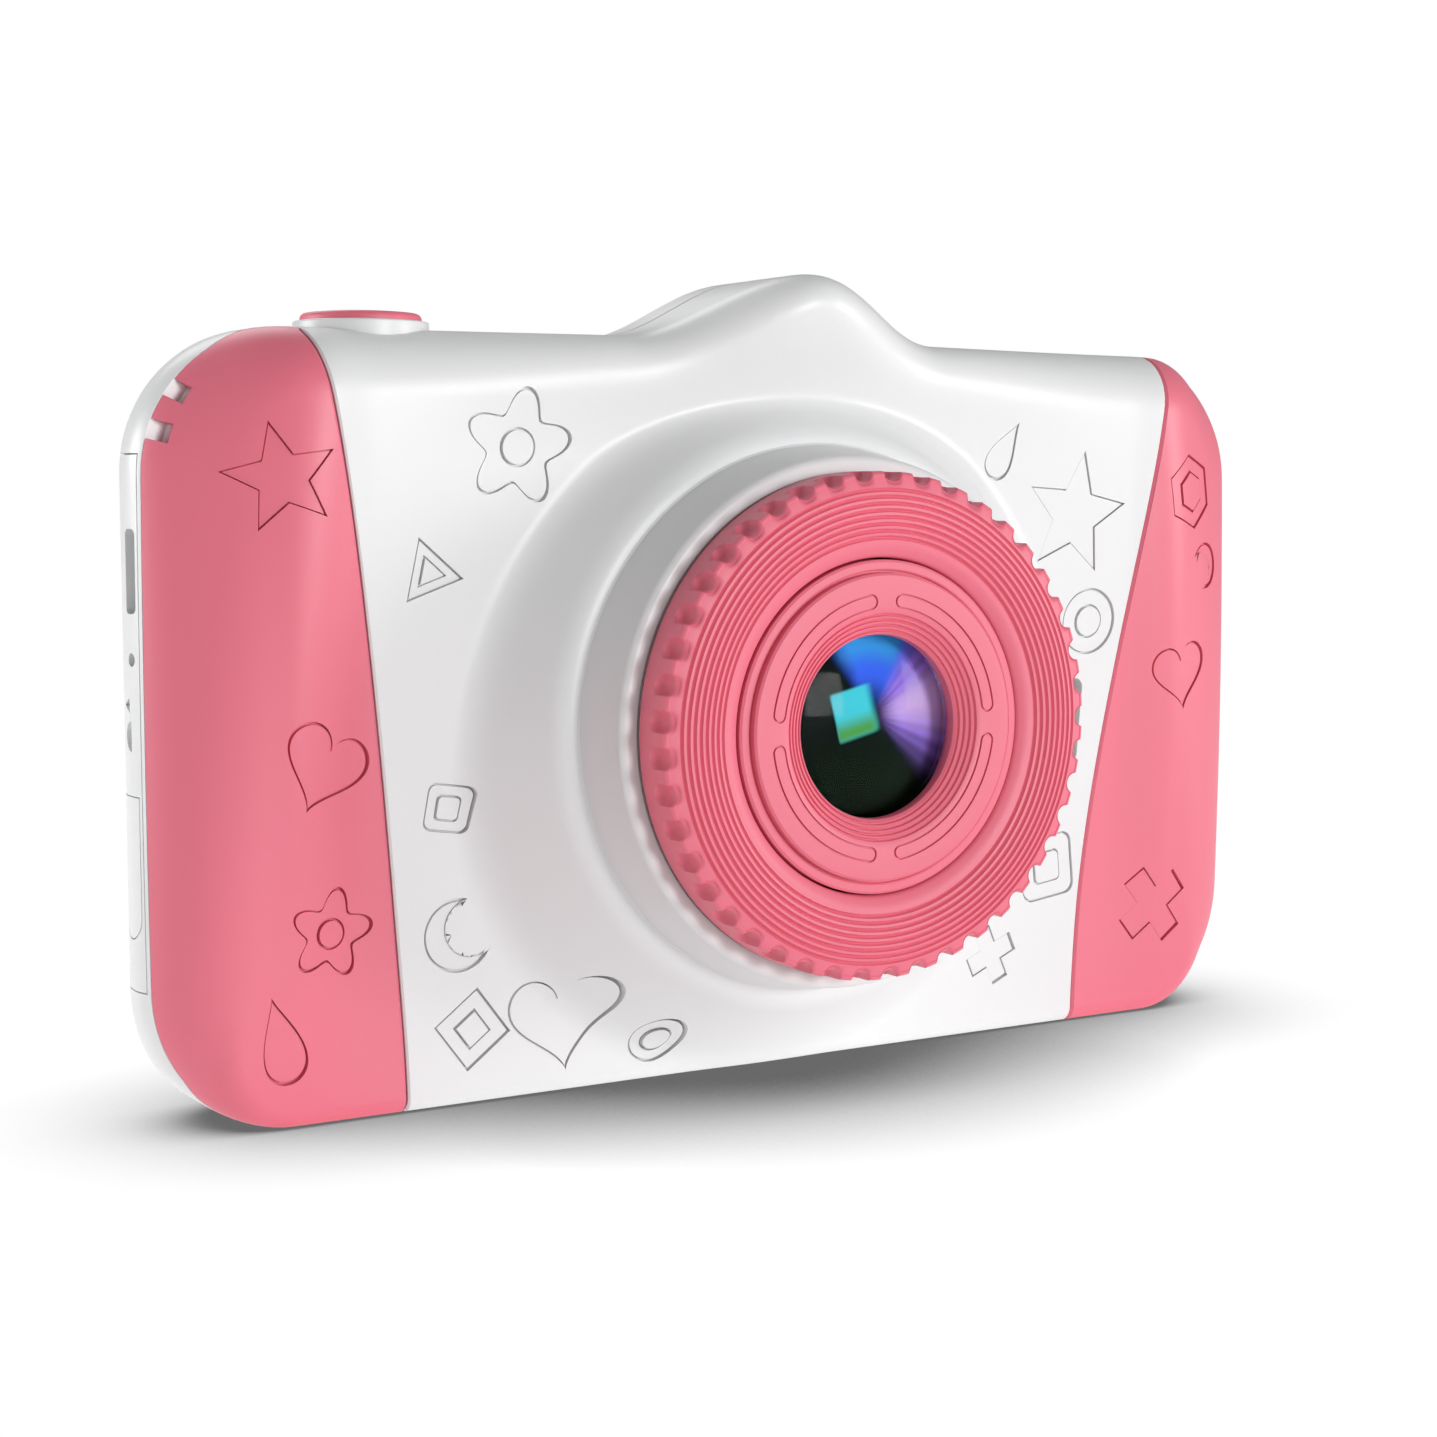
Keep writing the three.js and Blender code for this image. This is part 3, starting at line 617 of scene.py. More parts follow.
# ---------------------------------------------------------------- materials
def new_material(name, rgb, roughness, metallic=0.0, coat=0.0):
    material = bpy.data.materials.new(name)
    material.use_nodes = True
    tree = material.node_tree
    shader = tree.nodes["Principled BSDF"]
    shader.inputs["Base Color"].default_value = (*rgb, 1)
    shader.inputs["Roughness"].default_value = roughness
    shader.inputs["Metallic"].default_value = metallic
    shader.inputs["Coat Weight"].default_value = coat
    return material, tree, shader


def link(tree, source, target):
    tree.links.new(source, target)


def texture(tree, kind, scale, detail=2.0):
    place = tree.nodes.new("ShaderNodeTexCoord")
    node = tree.nodes.new(kind)
    node.inputs["Scale"].default_value = scale
    if "Detail" in node.inputs:
        node.inputs["Detail"].default_value = detail
    link(tree, place.outputs["Object"], node.inputs["Vector"])
    return node


def ramp(tree, source, low, high):
    """Maps a texture's value to a range."""
    node = tree.nodes.new("ShaderNodeMapRange")
    node.inputs["To Min"].default_value = low
    node.inputs["To Max"].default_value = high
    link(tree, source, node.inputs["Value"])
    return node.outputs["Result"]


def moulded(name, rgb, roughness, grain=0.25, coat=0.0, tint=0.03):
    """Moulded plastic: a fine spark-eroded grain, with slightly uneven gloss and colour."""
    material, tree, shader = new_material(name, rgb, roughness, coat=coat)
    cloud = texture(tree, "ShaderNodeTexNoise", 60, 3)
    colour = tree.nodes.new("ShaderNodeMix")
    colour.data_type = "RGBA"
    colour.inputs["A"].default_value = (*rgb, 1)
    colour.inputs["B"].default_value = (*[c * (1 - tint) for c in rgb], 1)
    link(tree, cloud.outputs["Fac"], colour.inputs["Factor"])
    link(tree, colour.outputs["Result"], shader.inputs["Base Color"])
    link(tree, ramp(tree, cloud.outputs["Fac"], roughness - 0.04, roughness + 0.04),
         shader.inputs["Roughness"])
    fine = texture(tree, "ShaderNodeTexNoise", 2600, 2)
    bump = tree.nodes.new("ShaderNodeBump")
    bump.inputs["Strength"].default_value = grain
    bump.inputs["Distance"].default_value = 0.00002
    link(tree, fine.outputs["Fac"], bump.inputs["Height"])
    link(tree, bump.outputs["Normal"], shader.inputs["Normal"])
    return material


def brushed(name, rgb, roughness):
    material, tree, shader = new_material(name, rgb, roughness, metallic=1.0)
    lines = texture(tree, "ShaderNodeTexNoise", 900, 4)
    link(tree, ramp(tree, lines.outputs["Fac"], roughness - 0.1, roughness + 0.12),
         shader.inputs["Roughness"])
    return material


WHITE = moulded("white_plastic", (0.78, 0.785, 0.79), 0.36, grain=0.12, tint=0.012)
PINK = moulded("pink_grip_plastic", (0.8, 0.175, 0.245), 0.42, grain=0.2)
PINK_TRIM = moulded("pink_trim_plastic", (0.8, 0.17, 0.24), 0.46, grain=0.2)
DOOR = moulded("door_rubber", (0.8, 0.8, 0.81), 0.6, grain=0.5)
BLACK = moulded("black_plastic", (0.012, 0.012, 0.013), 0.45, grain=0.6)
BOARD = moulded("green_board", (0.015, 0.12, 0.045), 0.4)
KEY_RUBBER = moulded("key_rubber", (0.55, 0.55, 0.56), 0.65)
STEEL = brushed("steel", (0.62, 0.63, 0.65), 0.32)
CELL = brushed("cell_foil", (0.7, 0.71, 0.73), 0.45)


def screen_material():
    material, tree, shader = new_material("screen_glass", (0.006, 0.006, 0.008), 0.06, coat=1.0)
    shader.inputs["Coat Roughness"].default_value = 0.02
    smear = texture(tree, "ShaderNodeTexNoise", 45, 4)
    link(tree, ramp(tree, smear.outputs["Fac"], 0.04, 0.12), shader.inputs["Roughness"])
    return material


def lens_glass():
    """Clear glass with a faint coating tint."""
    material, tree, shader = new_material("lens_glass", (0.9, 0.96, 1.0), 0.02)
    shader.inputs["Transmission Weight"].default_value = 1.0
    shader.inputs["IOR"].default_value = 1.12
    cloud = texture(tree, "ShaderNodeTexNoise", 90, 2)
    link(tree, ramp(tree, cloud.outputs["Fac"], 0.01, 0.03), shader.inputs["Roughness"])
    return material


def painted_lens_reflections():
    """Painted reflections standing in for the coated glass's coloured reflections: soft wedges and a
    bright window shape painted into the base colour, fixed to the glass around the lens axis."""
    material, tree, shader = new_material("lens_painted_reflections", (0, 0, 0), 0.3)
    shader.inputs["Specular IOR Level"].default_value = 0.0
    place = tree.nodes.new("ShaderNodeTexCoord")
    split = tree.nodes.new("ShaderNodeSeparateXYZ")
    link(tree, place.outputs["Object"], split.inputs["Vector"])

    def math_node(operation, *values):
        node = tree.nodes.new("ShaderNodeMath")
        node.operation = operation
        for socket, value in zip(node.inputs, values):
            if isinstance(value, (int, float)):
                socket.default_value = value
            else:
                link(tree, value, socket)
        return node.outputs[0]

    def soft_step(value, low, high):
        node = tree.nodes.new("ShaderNodeMapRange")
        node.interpolation_type = "SMOOTHSTEP"
        node.inputs["From Min"].default_value = low
        node.inputs["From Max"].default_value = high
        link(tree, value, node.inputs["Value"])
        return node.outputs["Result"]

    def band(value, start, full, fade, end):
        rising, falling = soft_step(value, start, full), soft_step(value, end, fade)
        return math_node("MULTIPLY", rising, falling)

    u = math_node("DIVIDE", split.outputs["X"], LENS_HOLE_R * MM)
    height = math_node("SUBTRACT", split.outputs["Z"], LENS_Z * MM)
    v = math_node("DIVIDE", height, LENS_HOLE_R * MM)
    fan_u, fan_v = math_node("SUBTRACT", u, 0.08), math_node("SUBTRACT", v, 0.1)
    radius = math_node("SQRT", math_node("ADD", math_node("MULTIPLY", fan_u, fan_u),
                                         math_node("MULTIPLY", fan_v, fan_v)))
    angle = math_node("MULTIPLY", math_node("ARCTAN2", fan_v, fan_u), 180 / math.pi)
    turn = math.radians(-14)
    left = math_node("ADD", u, 0.11)
    low = math_node("SUBTRACT", v, 0.14)
    square_u = math_node("ADD", math_node("MULTIPLY", left, math.cos(turn)),
                         math_node("MULTIPLY", low, -math.sin(turn)))
    square_v = math_node("ADD", math_node("MULTIPLY", left, math.sin(turn)),
                         math_node("MULTIPLY", low, math.cos(turn)))
    # A window-shaped painted reflection: cyan, with painted green below it.
    window = math_node("MULTIPLY", band(square_u, -0.28, -0.24, 0.16, 0.3),
                       band(square_v, -0.3, -0.22, 0.24, 0.28))
    outward = soft_step(radius, 0.05, 0.5)
    rays = math_node("ADD", math_node("MULTIPLY", math_node("SINE", math_node("MULTIPLY", angle, 0.62)),
                                      0.14), 0.86)
    # Painted reflections layered over a near-black base: faint green towards the bottom, blue and lilac
    # wedges, and the window shape.
    layers = [
        (math_node("MULTIPLY", soft_step(v, 0.1, -0.6), 0.6), (0.004, 0.014, 0.004)),
        (math_node("MULTIPLY", band(angle, 30, 56, 104, 130), outward), (0.06, 0.16, 0.95)),
        (math_node("MULTIPLY", band(angle, 50, 66, 104, 128), soft_step(radius, 0.5, 0.8)),
         (0.06, 0.42, 0.95)),
        (math_node("MULTIPLY", math_node("MULTIPLY", band(angle, -50, -8, 36, 64), outward), rays),
         (0.5, 0.26, 1.0)),
        (math_node("MULTIPLY", band(angle, -24, 4, 14, 38), soft_step(radius, 0.1, 0.5)),
         (0.86, 0.52, 1.0)),
        (window, (0.08, 0.72, 0.78)),
        (math_node("MULTIPLY", window, soft_step(square_v, 0.02, -0.2)), (0.1, 0.4, 0.08)),
    ]
    colour = None
    for amount, rgb in layers:
        mix = tree.nodes.new("ShaderNodeMix")
        mix.data_type = "RGBA"
        if colour is None:
            mix.inputs["A"].default_value = (0.002, 0.006, 0.004, 1)
        else:
            link(tree, colour, mix.inputs["A"])
        mix.inputs["B"].default_value = (*rgb, 1)
        link(tree, amount, mix.inputs["Factor"])
        colour = mix.outputs["Result"]
    link(tree, colour, shader.inputs["Base Color"])
    return material


GLASS = lens_glass()
# The lens's coloured reflections are painted into this material's base colour.
PAINTED_LENS_REFLECTIONS = painted_lens_reflections()
SCREEN = screen_material()


# ---------------------------------------------------------------- finishing a piece
def finish_piece(piece, name, material, body, replaced, sharp=28):
    piece.name = name
    piece.data.name = name
    piece.data.materials.clear()
    piece.data.materials.append(material)
    piece.data.shade_smooth()
    piece.data.set_sharp_from_angle(angle=math.radians(sharp))
    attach(piece, body)
    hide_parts(*replaced)
    return piece


def front_half():
    return block((-FAR, -FAR, -10), (FAR, SPLIT_Y, FAR))


def rear_half():
    return block((-FAR, SPLIT_Y + HAIRLINE, -10), (FAR, FAR, FAR))


def shutter_well(clearance):
    radius = (collar_high[0] - collar_low[0]) / 2 + clearance
    profile = [(0, 60), (radius, 60), (radius, 90), (0, 90)]
    return turned("tool", profile, 72, closed=False, centre=(SHUTTER_X, SHUTTER_Y), axis="Z")


def split_chamfer():
    x, z, _, _ = outline(1.0)
    y = np.full_like(x, SPLIT_Y + HAIRLINE / 2)
    return tube(np.stack([x, y, z], axis=1), 0.18, closed=True)


# ---------------------------------------------------------------- casing pieces
def is_grip(x, z):
    return abs(x) > seam_x(z)


SCREWS = [centre_mm(name) for name in SCREW_NAMES]
POST_R = 2.6


def front_shell():
    shell = common(envelope(0), front_half())
    for sign in (-1, 1):
        pocket = cut(grip_region(sign, HAIRLINE), envelope(GRIP_WALL + HAIRLINE, 0.6))
        cut(shell, pocket, tube(seam_path(sign), 0.3))
    slot = rounded_rectangle(2.4, 9.2, 1.1, centre=(speaker_centre[0], speaker_centre[2]))
    cut(
        shell,
        *mark_cutter(lambda x, z: not is_grip(x, z)),
        split_chamfer(),
        envelope(CASE_WALL, 0.3),
        bar_y(0, LENS_Z, BARREL_BORE_R, -FAR, 0, 120),
        prism_y(slot, -20, 0),
        shutter_well(0.15),
    )
    finish_piece(shell, "front_casing", WHITE, "camera", ["front_shell"])


NOTCH_DEGREES = (18.8, 38.0)
NOTCH_INNER_R, NOTCH_OUTER_R, NOTCH_WIDTH, NOTCH_DEPTH = 10.5, 16.0, 1.8, 1.7


def strap_notches():
    """Two notches in the rear edge of the left grip's upper corner."""
    centre = np.array([-(HALF_WIDTH - CORNER_R), HEIGHT - CORNER_R])
    tools = []
    for degrees in NOTCH_DEGREES:
        angle = math.pi - math.radians(degrees)
        along = np.array([math.cos(angle), math.sin(angle)])
        across = np.array([-along[1], along[0]]) * NOTCH_WIDTH / 2
        low, high = centre + NOTCH_INNER_R * along, centre + NOTCH_OUTER_R * along
        loop = [low - across, high - across, high + across, low + across]
        tools.append(prism_y(loop, SPLIT_Y - NOTCH_DEPTH, SPLIT_Y + 1))
    return tools


def grips():
    for sign, name in ((-1, "left_grip"), (1, "right_grip")):
        shell = common(envelope(0), grip_region(sign, 0))
        cut(shell, envelope(GRIP_WALL, 0.6), tube(seam_path(sign), 0.3), split_chamfer())
        cut(shell, *mark_cutter(lambda x, z, side=sign: is_grip(x, z) and x * side > 0))
        if sign < 0:
            cut(shell, *strap_notches())
        finish_piece(shell, name + "_cover", PINK, "camera", [name])


def key_hole(x, z, radius):
    """A hole through the back with a small chamfer at the skin."""
    profile = [(0, 0), (radius, 0), (radius, REAR_Y - 0.35), (radius + 0.7, REAR_Y + 0.35),
               (radius + 0.7, 20), (0, 20)]
    return turned("tool", profile, 64, closed=False, centre=(x, z))


def usb_hole():
    centre = centre_mm("usb_socket")
    return prism_x(rounded_rectangle(1.8, 7.4, 0.6, (-1.2, centre[2])), -70, -50)


def microphone_hole():
    centre = centre_mm("microphone")
    return prism_x(polar(np.full(24, 0.6)) + centre[1:], -70, -50)


def rear_shell():
    shell = common(envelope(0), rear_half())
    pocket = cut(
        block((-FAR, panel_low[1] - HAIRLINE, panel_low[2] - HAIRLINE),
              (-54, panel_high[1] + HAIRLINE, panel_high[2] + HAIRLINE)),
        envelope(GRIP_WALL + HAIRLINE, 0.6),
    )
    window = (window_low + window_high) / 2
    width, height = window_high[0] - window_low[0], window_high[2] - window_low[2]
    middle = (window[0], window[2])
    recess = rounded_rectangle(width + 0.3, height + 0.3, 3.15, middle)
    cut(
        shell,
        envelope(CASE_WALL, 0.3),
        pocket,
        split_chamfer(),
        prism_y(recess, window_low[1] - 0.1, 20),
        prism_y(recess, REAR_Y - 0.2, REAR_Y + 0.2, grow=0.4),
        prism_y(rounded_rectangle(width - 5, height - 5, 1, middle), 0, 20),
        shutter_well(0.15),
        usb_hole(),
        microphone_hole(),
        block((-70, door_low[1] + 0.1, door_low[2] + 0.6), (-55, door_high[1] - 0.5, door_high[2] - 0.6)),
    )
    for name in KEY_NAMES:
        x, _, z = centre_mm(name)
        low, high = box_mm(name)
        cut(shell, key_hole(x, z, (high[0] - low[0]) / 2 - 0.7 + 0.18))
    for x, _, z in SCREWS:
        add(shell, bar_y(x, z, POST_R, 2.3, REAR_Y - 1, 32))
        cut(shell, bar_y(x, z, 1.15, 0, 20, 24), screw_recess(x, z))
    finish_piece(shell, "rear_casing", WHITE, "camera", ["rear_shell"])


def screw_recess(x, z):
    """A counterbore for a screw head, with a chamfer at the skin."""
    profile = [(0, REAR_Y - 1.5), (2.2, REAR_Y - 1.5), (2.2, REAR_Y - 0.2), (2.6, REAR_Y + 0.2),
               (2.6, 20), (0, 20)]
    return turned("tool", profile, 40, closed=False, centre=(x, z))


def door_loop(grow):
    centre_y = (door_low[1] + door_high[1]) / 2
    radius = (door_high[1] - door_low[1]) / 2
    bend_z = door_low[2] + radius
    top = door_high[2] + grow
    points = [(centre_y + radius + grow, top), (centre_y - radius - grow, top)]
    return np.array(points + arc((centre_y, bend_z), radius + grow, 180, 360, 24))


def side_pieces():
    skin = cut(envelope(0), envelope(GRIP_WALL, 0.6))
    door = common(duplicate(skin), prism_x(door_loop(0), -70, -55))
    panel = common(skin, block((-FAR, panel_low[1], panel_low[2]), (-54, panel_high[1], panel_high[2])))
    triangle = [(-0.6, 37.7), (0.7, 38.4), (-0.6, 39.1)]
    half_round = [(-0.9, 34.3), (-0.9, 37.0)] + arc((-0.9, 35.65), 1.35, 88, -88, 20)
    cut(panel, usb_hole(), microphone_hole(), prism_x(door_loop(HAIRLINE), -70, -55),
        *[prism_x(loop, -70, 0.5 - HALF_WIDTH) for loop in (triangle, half_round)])
    finish_piece(panel, "side_strip", WHITE, "camera", ["side_panel"])
    finish_piece(door, "card_flap", DOOR, "door", ["card_door"])


# ---------------------------------------------------------------- lens pieces
GROOVES = 8
GROOVE_PITCH = 0.62
GROOVE_FIRST_R = 17.45
GROOVE_DEPTH = 0.34


def ring_face(radius):
    """The ring's domed front, without its grooves."""
    if radius < 17.2:
        return -25.6 + (-26.25 + 25.6) * math.sin(math.pi / 2 * (radius - 15.6) / 1.6)
    return RING_FRONT_Y + 0.45 * ((radius - 20) / 2.8) ** 2


FLUTE_DEPTH = 0.82
FLUTE_HALF = 1.0
FLUTE_END_Y = -24.85  # where its round end begins


def flute_depth(angles, y):
    """How deep the evenly spaced, round-ended flutes cut into the ring's side."""
    pitch = 2 * math.pi / RING_TEETH
    across = RING_R * ((angles + pitch / 2) % pitch - pitch / 2)
    reach = np.hypot(across, max(0.0, y - FLUTE_END_Y)) / FLUTE_HALF
    return FLUTE_DEPTH * np.maximum(0, 1 - reach ** 2) ** 0.6


def lens_ring():
    face = [(r, ring_face(r)) for r in np.linspace(15.75, 17.2, 8)]
    for i in range(GROOVES):
        middle = GROOVE_FIRST_R + i * GROOVE_PITCH
        for away, share in ((-0.19, 0), (-0.1, 0.8), (0, 1), (0.1, 0.8), (0.19, 0)):
            radius = middle + away
            face.append((radius, ring_face(radius) + share * GROOVE_DEPTH))
    face += [(r, ring_face(r)) for r in np.linspace(22.2, 23.0, 6)]
    corner = arc((RING_R - 0.5, -25.75), 0.5, -80, 0, 8)
    back = ring_high[1] - 3.4
    side = [(RING_R, y) for y in np.linspace(-25.5, -22.0, 26)]
    sleeve = [(RING_R - 0.4, -21.8), (17.0, -21.8), (17.0, ring_high[1]), (15.6, ring_high[1])]
    lip = [(15.6, back), (15.6, -25.3), (15.65, -25.5)]
    profile = face + corner + side + sleeve + lip

    segments = RING_TEETH * 16
    angles = 2 * math.pi * np.arange(segments) / segments
    rings = []
    for radius, y in profile:
        share = float(smooth((radius - 22.0) / 1.4)) if y < RING_FRONT_Y + 1.5 else float(radius > 23)
        radii = radius - share * flute_depth(angles, y)
        rings.append(np.stack([radii * np.cos(angles), np.full(segments, y),
                               LENS_Z + radii * np.sin(angles)], axis=1))
    ring = rings_object("ring", rings, closed=True)
    finish_piece(ring, "zoom_ring", PINK_TRIM, "ring", ["lens_ring"], sharp=50)


def kidney_groove(quadrant):
    """A closed thin groove round a long curved slot shape, in one quarter of the plate."""
    middle_r, half, line = 11.72, 0.62, 0.1
    start, end = math.radians(8.3), math.radians(81.7)
    turn = quadrant * math.pi / 2

    def loop(reach):
        points = []
        for t in np.linspace(start, end, 30):
            points.append(((middle_r + reach) * math.cos(t), (middle_r + reach) * math.sin(t)))
        for a in np.linspace(0, math.pi, 12)[1:-1]:
            r = middle_r + reach * math.cos(a)
            along = reach * math.sin(a)
            points.append((r * math.cos(end) - along * math.sin(end),
                           r * math.sin(end) + along * math.cos(end)))
        for t in np.linspace(end, start, 30):
            points.append(((middle_r - reach) * math.cos(t), (middle_r - reach) * math.sin(t)))
        for a in np.linspace(math.pi, 2 * math.pi, 12)[1:-1]:
            r = middle_r + reach * math.cos(a)
            along = reach * math.sin(a)
            points.append((r * math.cos(start) - along * math.sin(start),
                           r * math.sin(start) + along * math.cos(start)))
        c, s = math.cos(turn), math.sin(turn)
        return np.array([(c * x - s * z, LENS_Z + s * x + c * z) for x, z in points])

    return prism_y(loop(half + line), -30, -26.22, inner=loop(half - line))


def lens_bezel():
    cone = []
    for i in range(4):
        middle = 8.95 + 0.48 * i
        for away, depth in ((-0.14, 0), (-0.06, 0.14), (0.06, 0.14), (0.14, 0)):
            radius = middle + away
            cone.append((radius, -25.3 - 1.1 * (radius - 8.6) / 2.2 + 1.6 * depth))
    face = [(LENS_HOLE_R, -24.9), (8.58, -25.2)] + cone
    face += [(10.75, -26.36), (11.2, -26.45), (13.5, -26.5)]
    face += [(14.0, -26.46), (14.22, -26.3), (14.28, -25.6), (14.42, -25.6), (14.46, -25.84)]
    edge_r = BEZEL_R + HAIRLINE
    face += [(14.6, -25.92), (15.2, -25.9), (edge_r, -25.75)]
    body = [(edge_r, bezel_high[1]), (13.8, bezel_high[1]), (13.8, -22.4), (9.3, -22.4),
            (9.3, -24.4), (LENS_HOLE_R, -24.4)]
    plate = turned("plate", face + body, 288)
    cut(plate, *[kidney_groove(q) for q in range(4)])
    finish_piece(plate, "lens_plate", PINK_TRIM, "camera", ["lens_bezel"])


def lens_glasses():
    edge_y = -23.6
    dome = [(r, -24.75 + 1.15 * (r / 8.2) ** 2) for r in np.linspace(0, 8.2, 24)]
    window = turned("window", dome + [(9, edge_y), (9, -22.9), (0, -22.9)], 128, closed=False)
    finish_piece(window, "front_glass", GLASS, "camera", ["lens_window"])
    bowl = [(r, -22.1 - 0.5 * (1 - (r / 8.6) ** 2)) for r in np.linspace(0, 8.6, 24)]
    # The disc behind the front glass carries the painted lens reflections.
    baffle = turned("coating", bowl + [(13.2, -22.1), (13.2, -20.2), (0, -20.2)], 128, closed=False)
    finish_piece(baffle, "painted_reflection_disc", PAINTED_LENS_REFLECTIONS, "camera", ["lens_baffle"])


# ---------------------------------------------------------------- shutter, keys, screen, screws
def shutter():
    radius = (button_high[0] - button_low[0]) / 2
    top, edge = button_high[2], 0.55
    crown = [(0, top)] + [(r, top - 0.25 * (r / (radius - edge)) ** 2)
                          for r in np.linspace(0.5, radius - edge, 12)]
    rim = arc((radius - edge, top - 0.25 - edge), edge, 80, 0, 8)
    stem = [(radius, 71.4), (1.8, 71.4), (1.8, button_low[2]), (0, button_low[2])]
    place = (SHUTTER_X, SHUTTER_Y)
    button = turned("button", crown + rim + stem, 128, closed=False, centre=place, axis="Z")
    finish_piece(button, "shutter_cap", PINK_TRIM, "shutter", ["shutter_button"])

    outer = (collar_high[0] - collar_low[0]) / 2
    inner, high, low = outer - 0.4, collar_high[2], collar_low[2]
    lip = arc((outer - 0.2, high - 0.2), 0.2, 0, 180, 10)
    profile = [(2.2, low), (outer, low)] + lip + [(inner, low + 1.2), (2.2, low + 1.2)]
    collar = turned("collar", profile, 128, centre=place, axis="Z")
    finish_piece(collar, "shutter_rim", WHITE, "camera", ["shutter_collar"])


COIL_TURNS = 2
COIL_WIRE_R = 0.15


def shutter_coil():
    """The spring under the button."""
    low, high = box_mm("shutter_spring")
    coil_r = (high[0] - low[0]) / 2 - COIL_WIRE_R
    up = np.array([0.0, 0.0, 1.0])
    middles, rings = [], []
    for share in np.linspace(0, 1, 97):
        angle = 2 * math.pi * COIL_TURNS * share
        z = low[2] + COIL_WIRE_R + (high[2] - low[2] - 2 * COIL_WIRE_R) * share
        out = np.array([math.cos(angle), math.sin(angle), 0.0])
        middle = np.array([SHUTTER_X, SHUTTER_Y, z]) + coil_r * out
        middles.append(middle)
        around = 2 * math.pi * np.arange(10) / 10
        rings.append([middle + COIL_WIRE_R * (math.cos(a) * out + math.sin(a) * up) for a in around])
    coil = rings_object("coil", rings, first=middles[0], last=middles[-1])
    finish_piece(coil, "shutter_coil", STEEL, "shutter", ["shutter_spring"])
    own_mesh(coil)


def keys():
    for name in KEY_NAMES:
        low, high = box_mm(name)
        x, _, z = (low + high) / 2
        radius = (high[0] - low[0]) / 2 - 0.7
        top, edge = high[1], 0.45
        crown = [(0, top)] + [(r, top - 0.18 * (r / (radius - edge)) ** 2)
                              for r in np.linspace(0.4, radius - edge, 8)]
        rim = arc((radius - edge, top - 0.18 - edge), edge, 80, 0, 8)
        foot = [(radius, low[1] + 0.6), (radius + 0.7, low[1] + 0.6), (radius + 0.7, low[1]),
                (0, low[1])]
        key = turned("key", crown + rim + foot, 72, closed=False, centre=(x, z))
        body = name.removeprefix("key_")
        finish_piece(key, name + "_cap", PINK_TRIM, body, [name])


def screen():
    width, height = window_high[0] - window_low[0], window_high[2] - window_low[2]
    centre = ((window_low[0] + window_high[0]) / 2, (window_low[2] + window_high[2]) / 2)
    glass = prism_y(rounded_rectangle(width, height, 3, centre), window_low[1], window_high[1] - 0.25)
    rim = prism_y(rounded_rectangle(width - 0.5, height - 0.5, 2.75, centre),
                  window_low[1] + 0.2, window_high[1])
    add(glass, rim)
    finish_piece(glass, "screen_cover", SCREEN, "camera", ["screen_window"])


def screws():
    for name in SCREW_NAMES:
        low, high = box_mm(name)
        x, _, z = (low + high) / 2
        top = high[1]
        head = [(0, top)] + [(r, top - 0.25 * (r / 1.7) ** 2) for r in np.linspace(0.3, 1.7, 7)]
        head += [(2.0, top - 0.5), (2.0, top - 1.1), (0.7, top - 1.1), (0.7, low[1]), (0, low[1])]
        screw = turned("screw", head, 48, closed=False, centre=(x, z))
        for long_x, long_z in ((1.3, 0.25), (0.25, 1.3)):
            cut(screw, block((x - long_x, top - 0.6, z - long_z), (x + long_x, top + 1, z + long_z)))
        finish_piece(screw, name + "_head", STEEL, "camera", [name])


# ---------------------------------------------------------------- CAD nodes that stay
CARRIED = {
    "ring_retainer": WHITE, "inner_lens": GLASS, "lens_holder": BLACK, "image_sensor": SCREEN,
    "sensor_board": BOARD, "shutter_switch": BLACK, "main_board": BOARD,
    "battery": CELL, "battery_lead": BLACK, "usb_socket": STEEL, "card_socket": STEEL,
    "memory_card": BLACK, "microphone": STEEL, "speaker": BLACK, "lcd_panel": SCREEN,
    "lcd_frame": BLACK, "keypad": KEY_RUBBER,
}


def carried_nodes():
    for name, material in CARRIED.items():
        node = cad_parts[name]
        node.data.materials.clear()
        node.data.materials.append(material)


# ---------------------------------------------------------------- camera, light, floor
def camera():
    azimuth, elevation, distance = math.radians(-31.33), math.radians(5.2), 240.3
    target = Vector((-7.39, -9.0, 35.28))
    back = Vector((math.sin(azimuth) * math.cos(elevation),
                   -math.cos(azimuth) * math.cos(elevation), math.sin(elevation)))
    data = bpy.data.cameras.new("camera")
    data.lens = 62.6
    data.sensor_width = 36
    data.clip_start = 0.01
    view = bpy.data.objects.new("camera", data)
    view.location = (target + back * distance) * MM
    view.rotation_euler = (-back).to_track_quat("-Z", "Y").to_euler()
    scene.collection.objects.link(view)
    scene.camera = view


def area_light(name, place, aim, size, watts):
    data = bpy.data.lights.new(name, "AREA")
    data.shape = "RECTANGLE"
    data.size, data.size_y = size
    data.energy = watts
    light = bpy.data.objects.new(name, data)
    light.location = place
    light.rotation_euler = (Vector(aim) - Vector(place)).to_track_quat("-Z", "Y").to_euler()
    scene.collection.objects.link(light)


# Each softbox: its place in metres, its side and its power in watts, aimed at the camera's middle.
SOFTBOXES = {
    "right_low": ((0.8, -0.55, 0.14), 0.24, 2.6),
    "front_low": ((0.2, -0.9, 0.14), 0.24, 3.6),
    "rear_top": ((0.0, 0.5, 0.55), 0.4, 1.4),
    "left_rim": ((-0.65, 0.4, 0.2), 0.3, 3.2),
}
WORLD_STRENGTH = 0.26
FLOOR_GLOW = 0.34


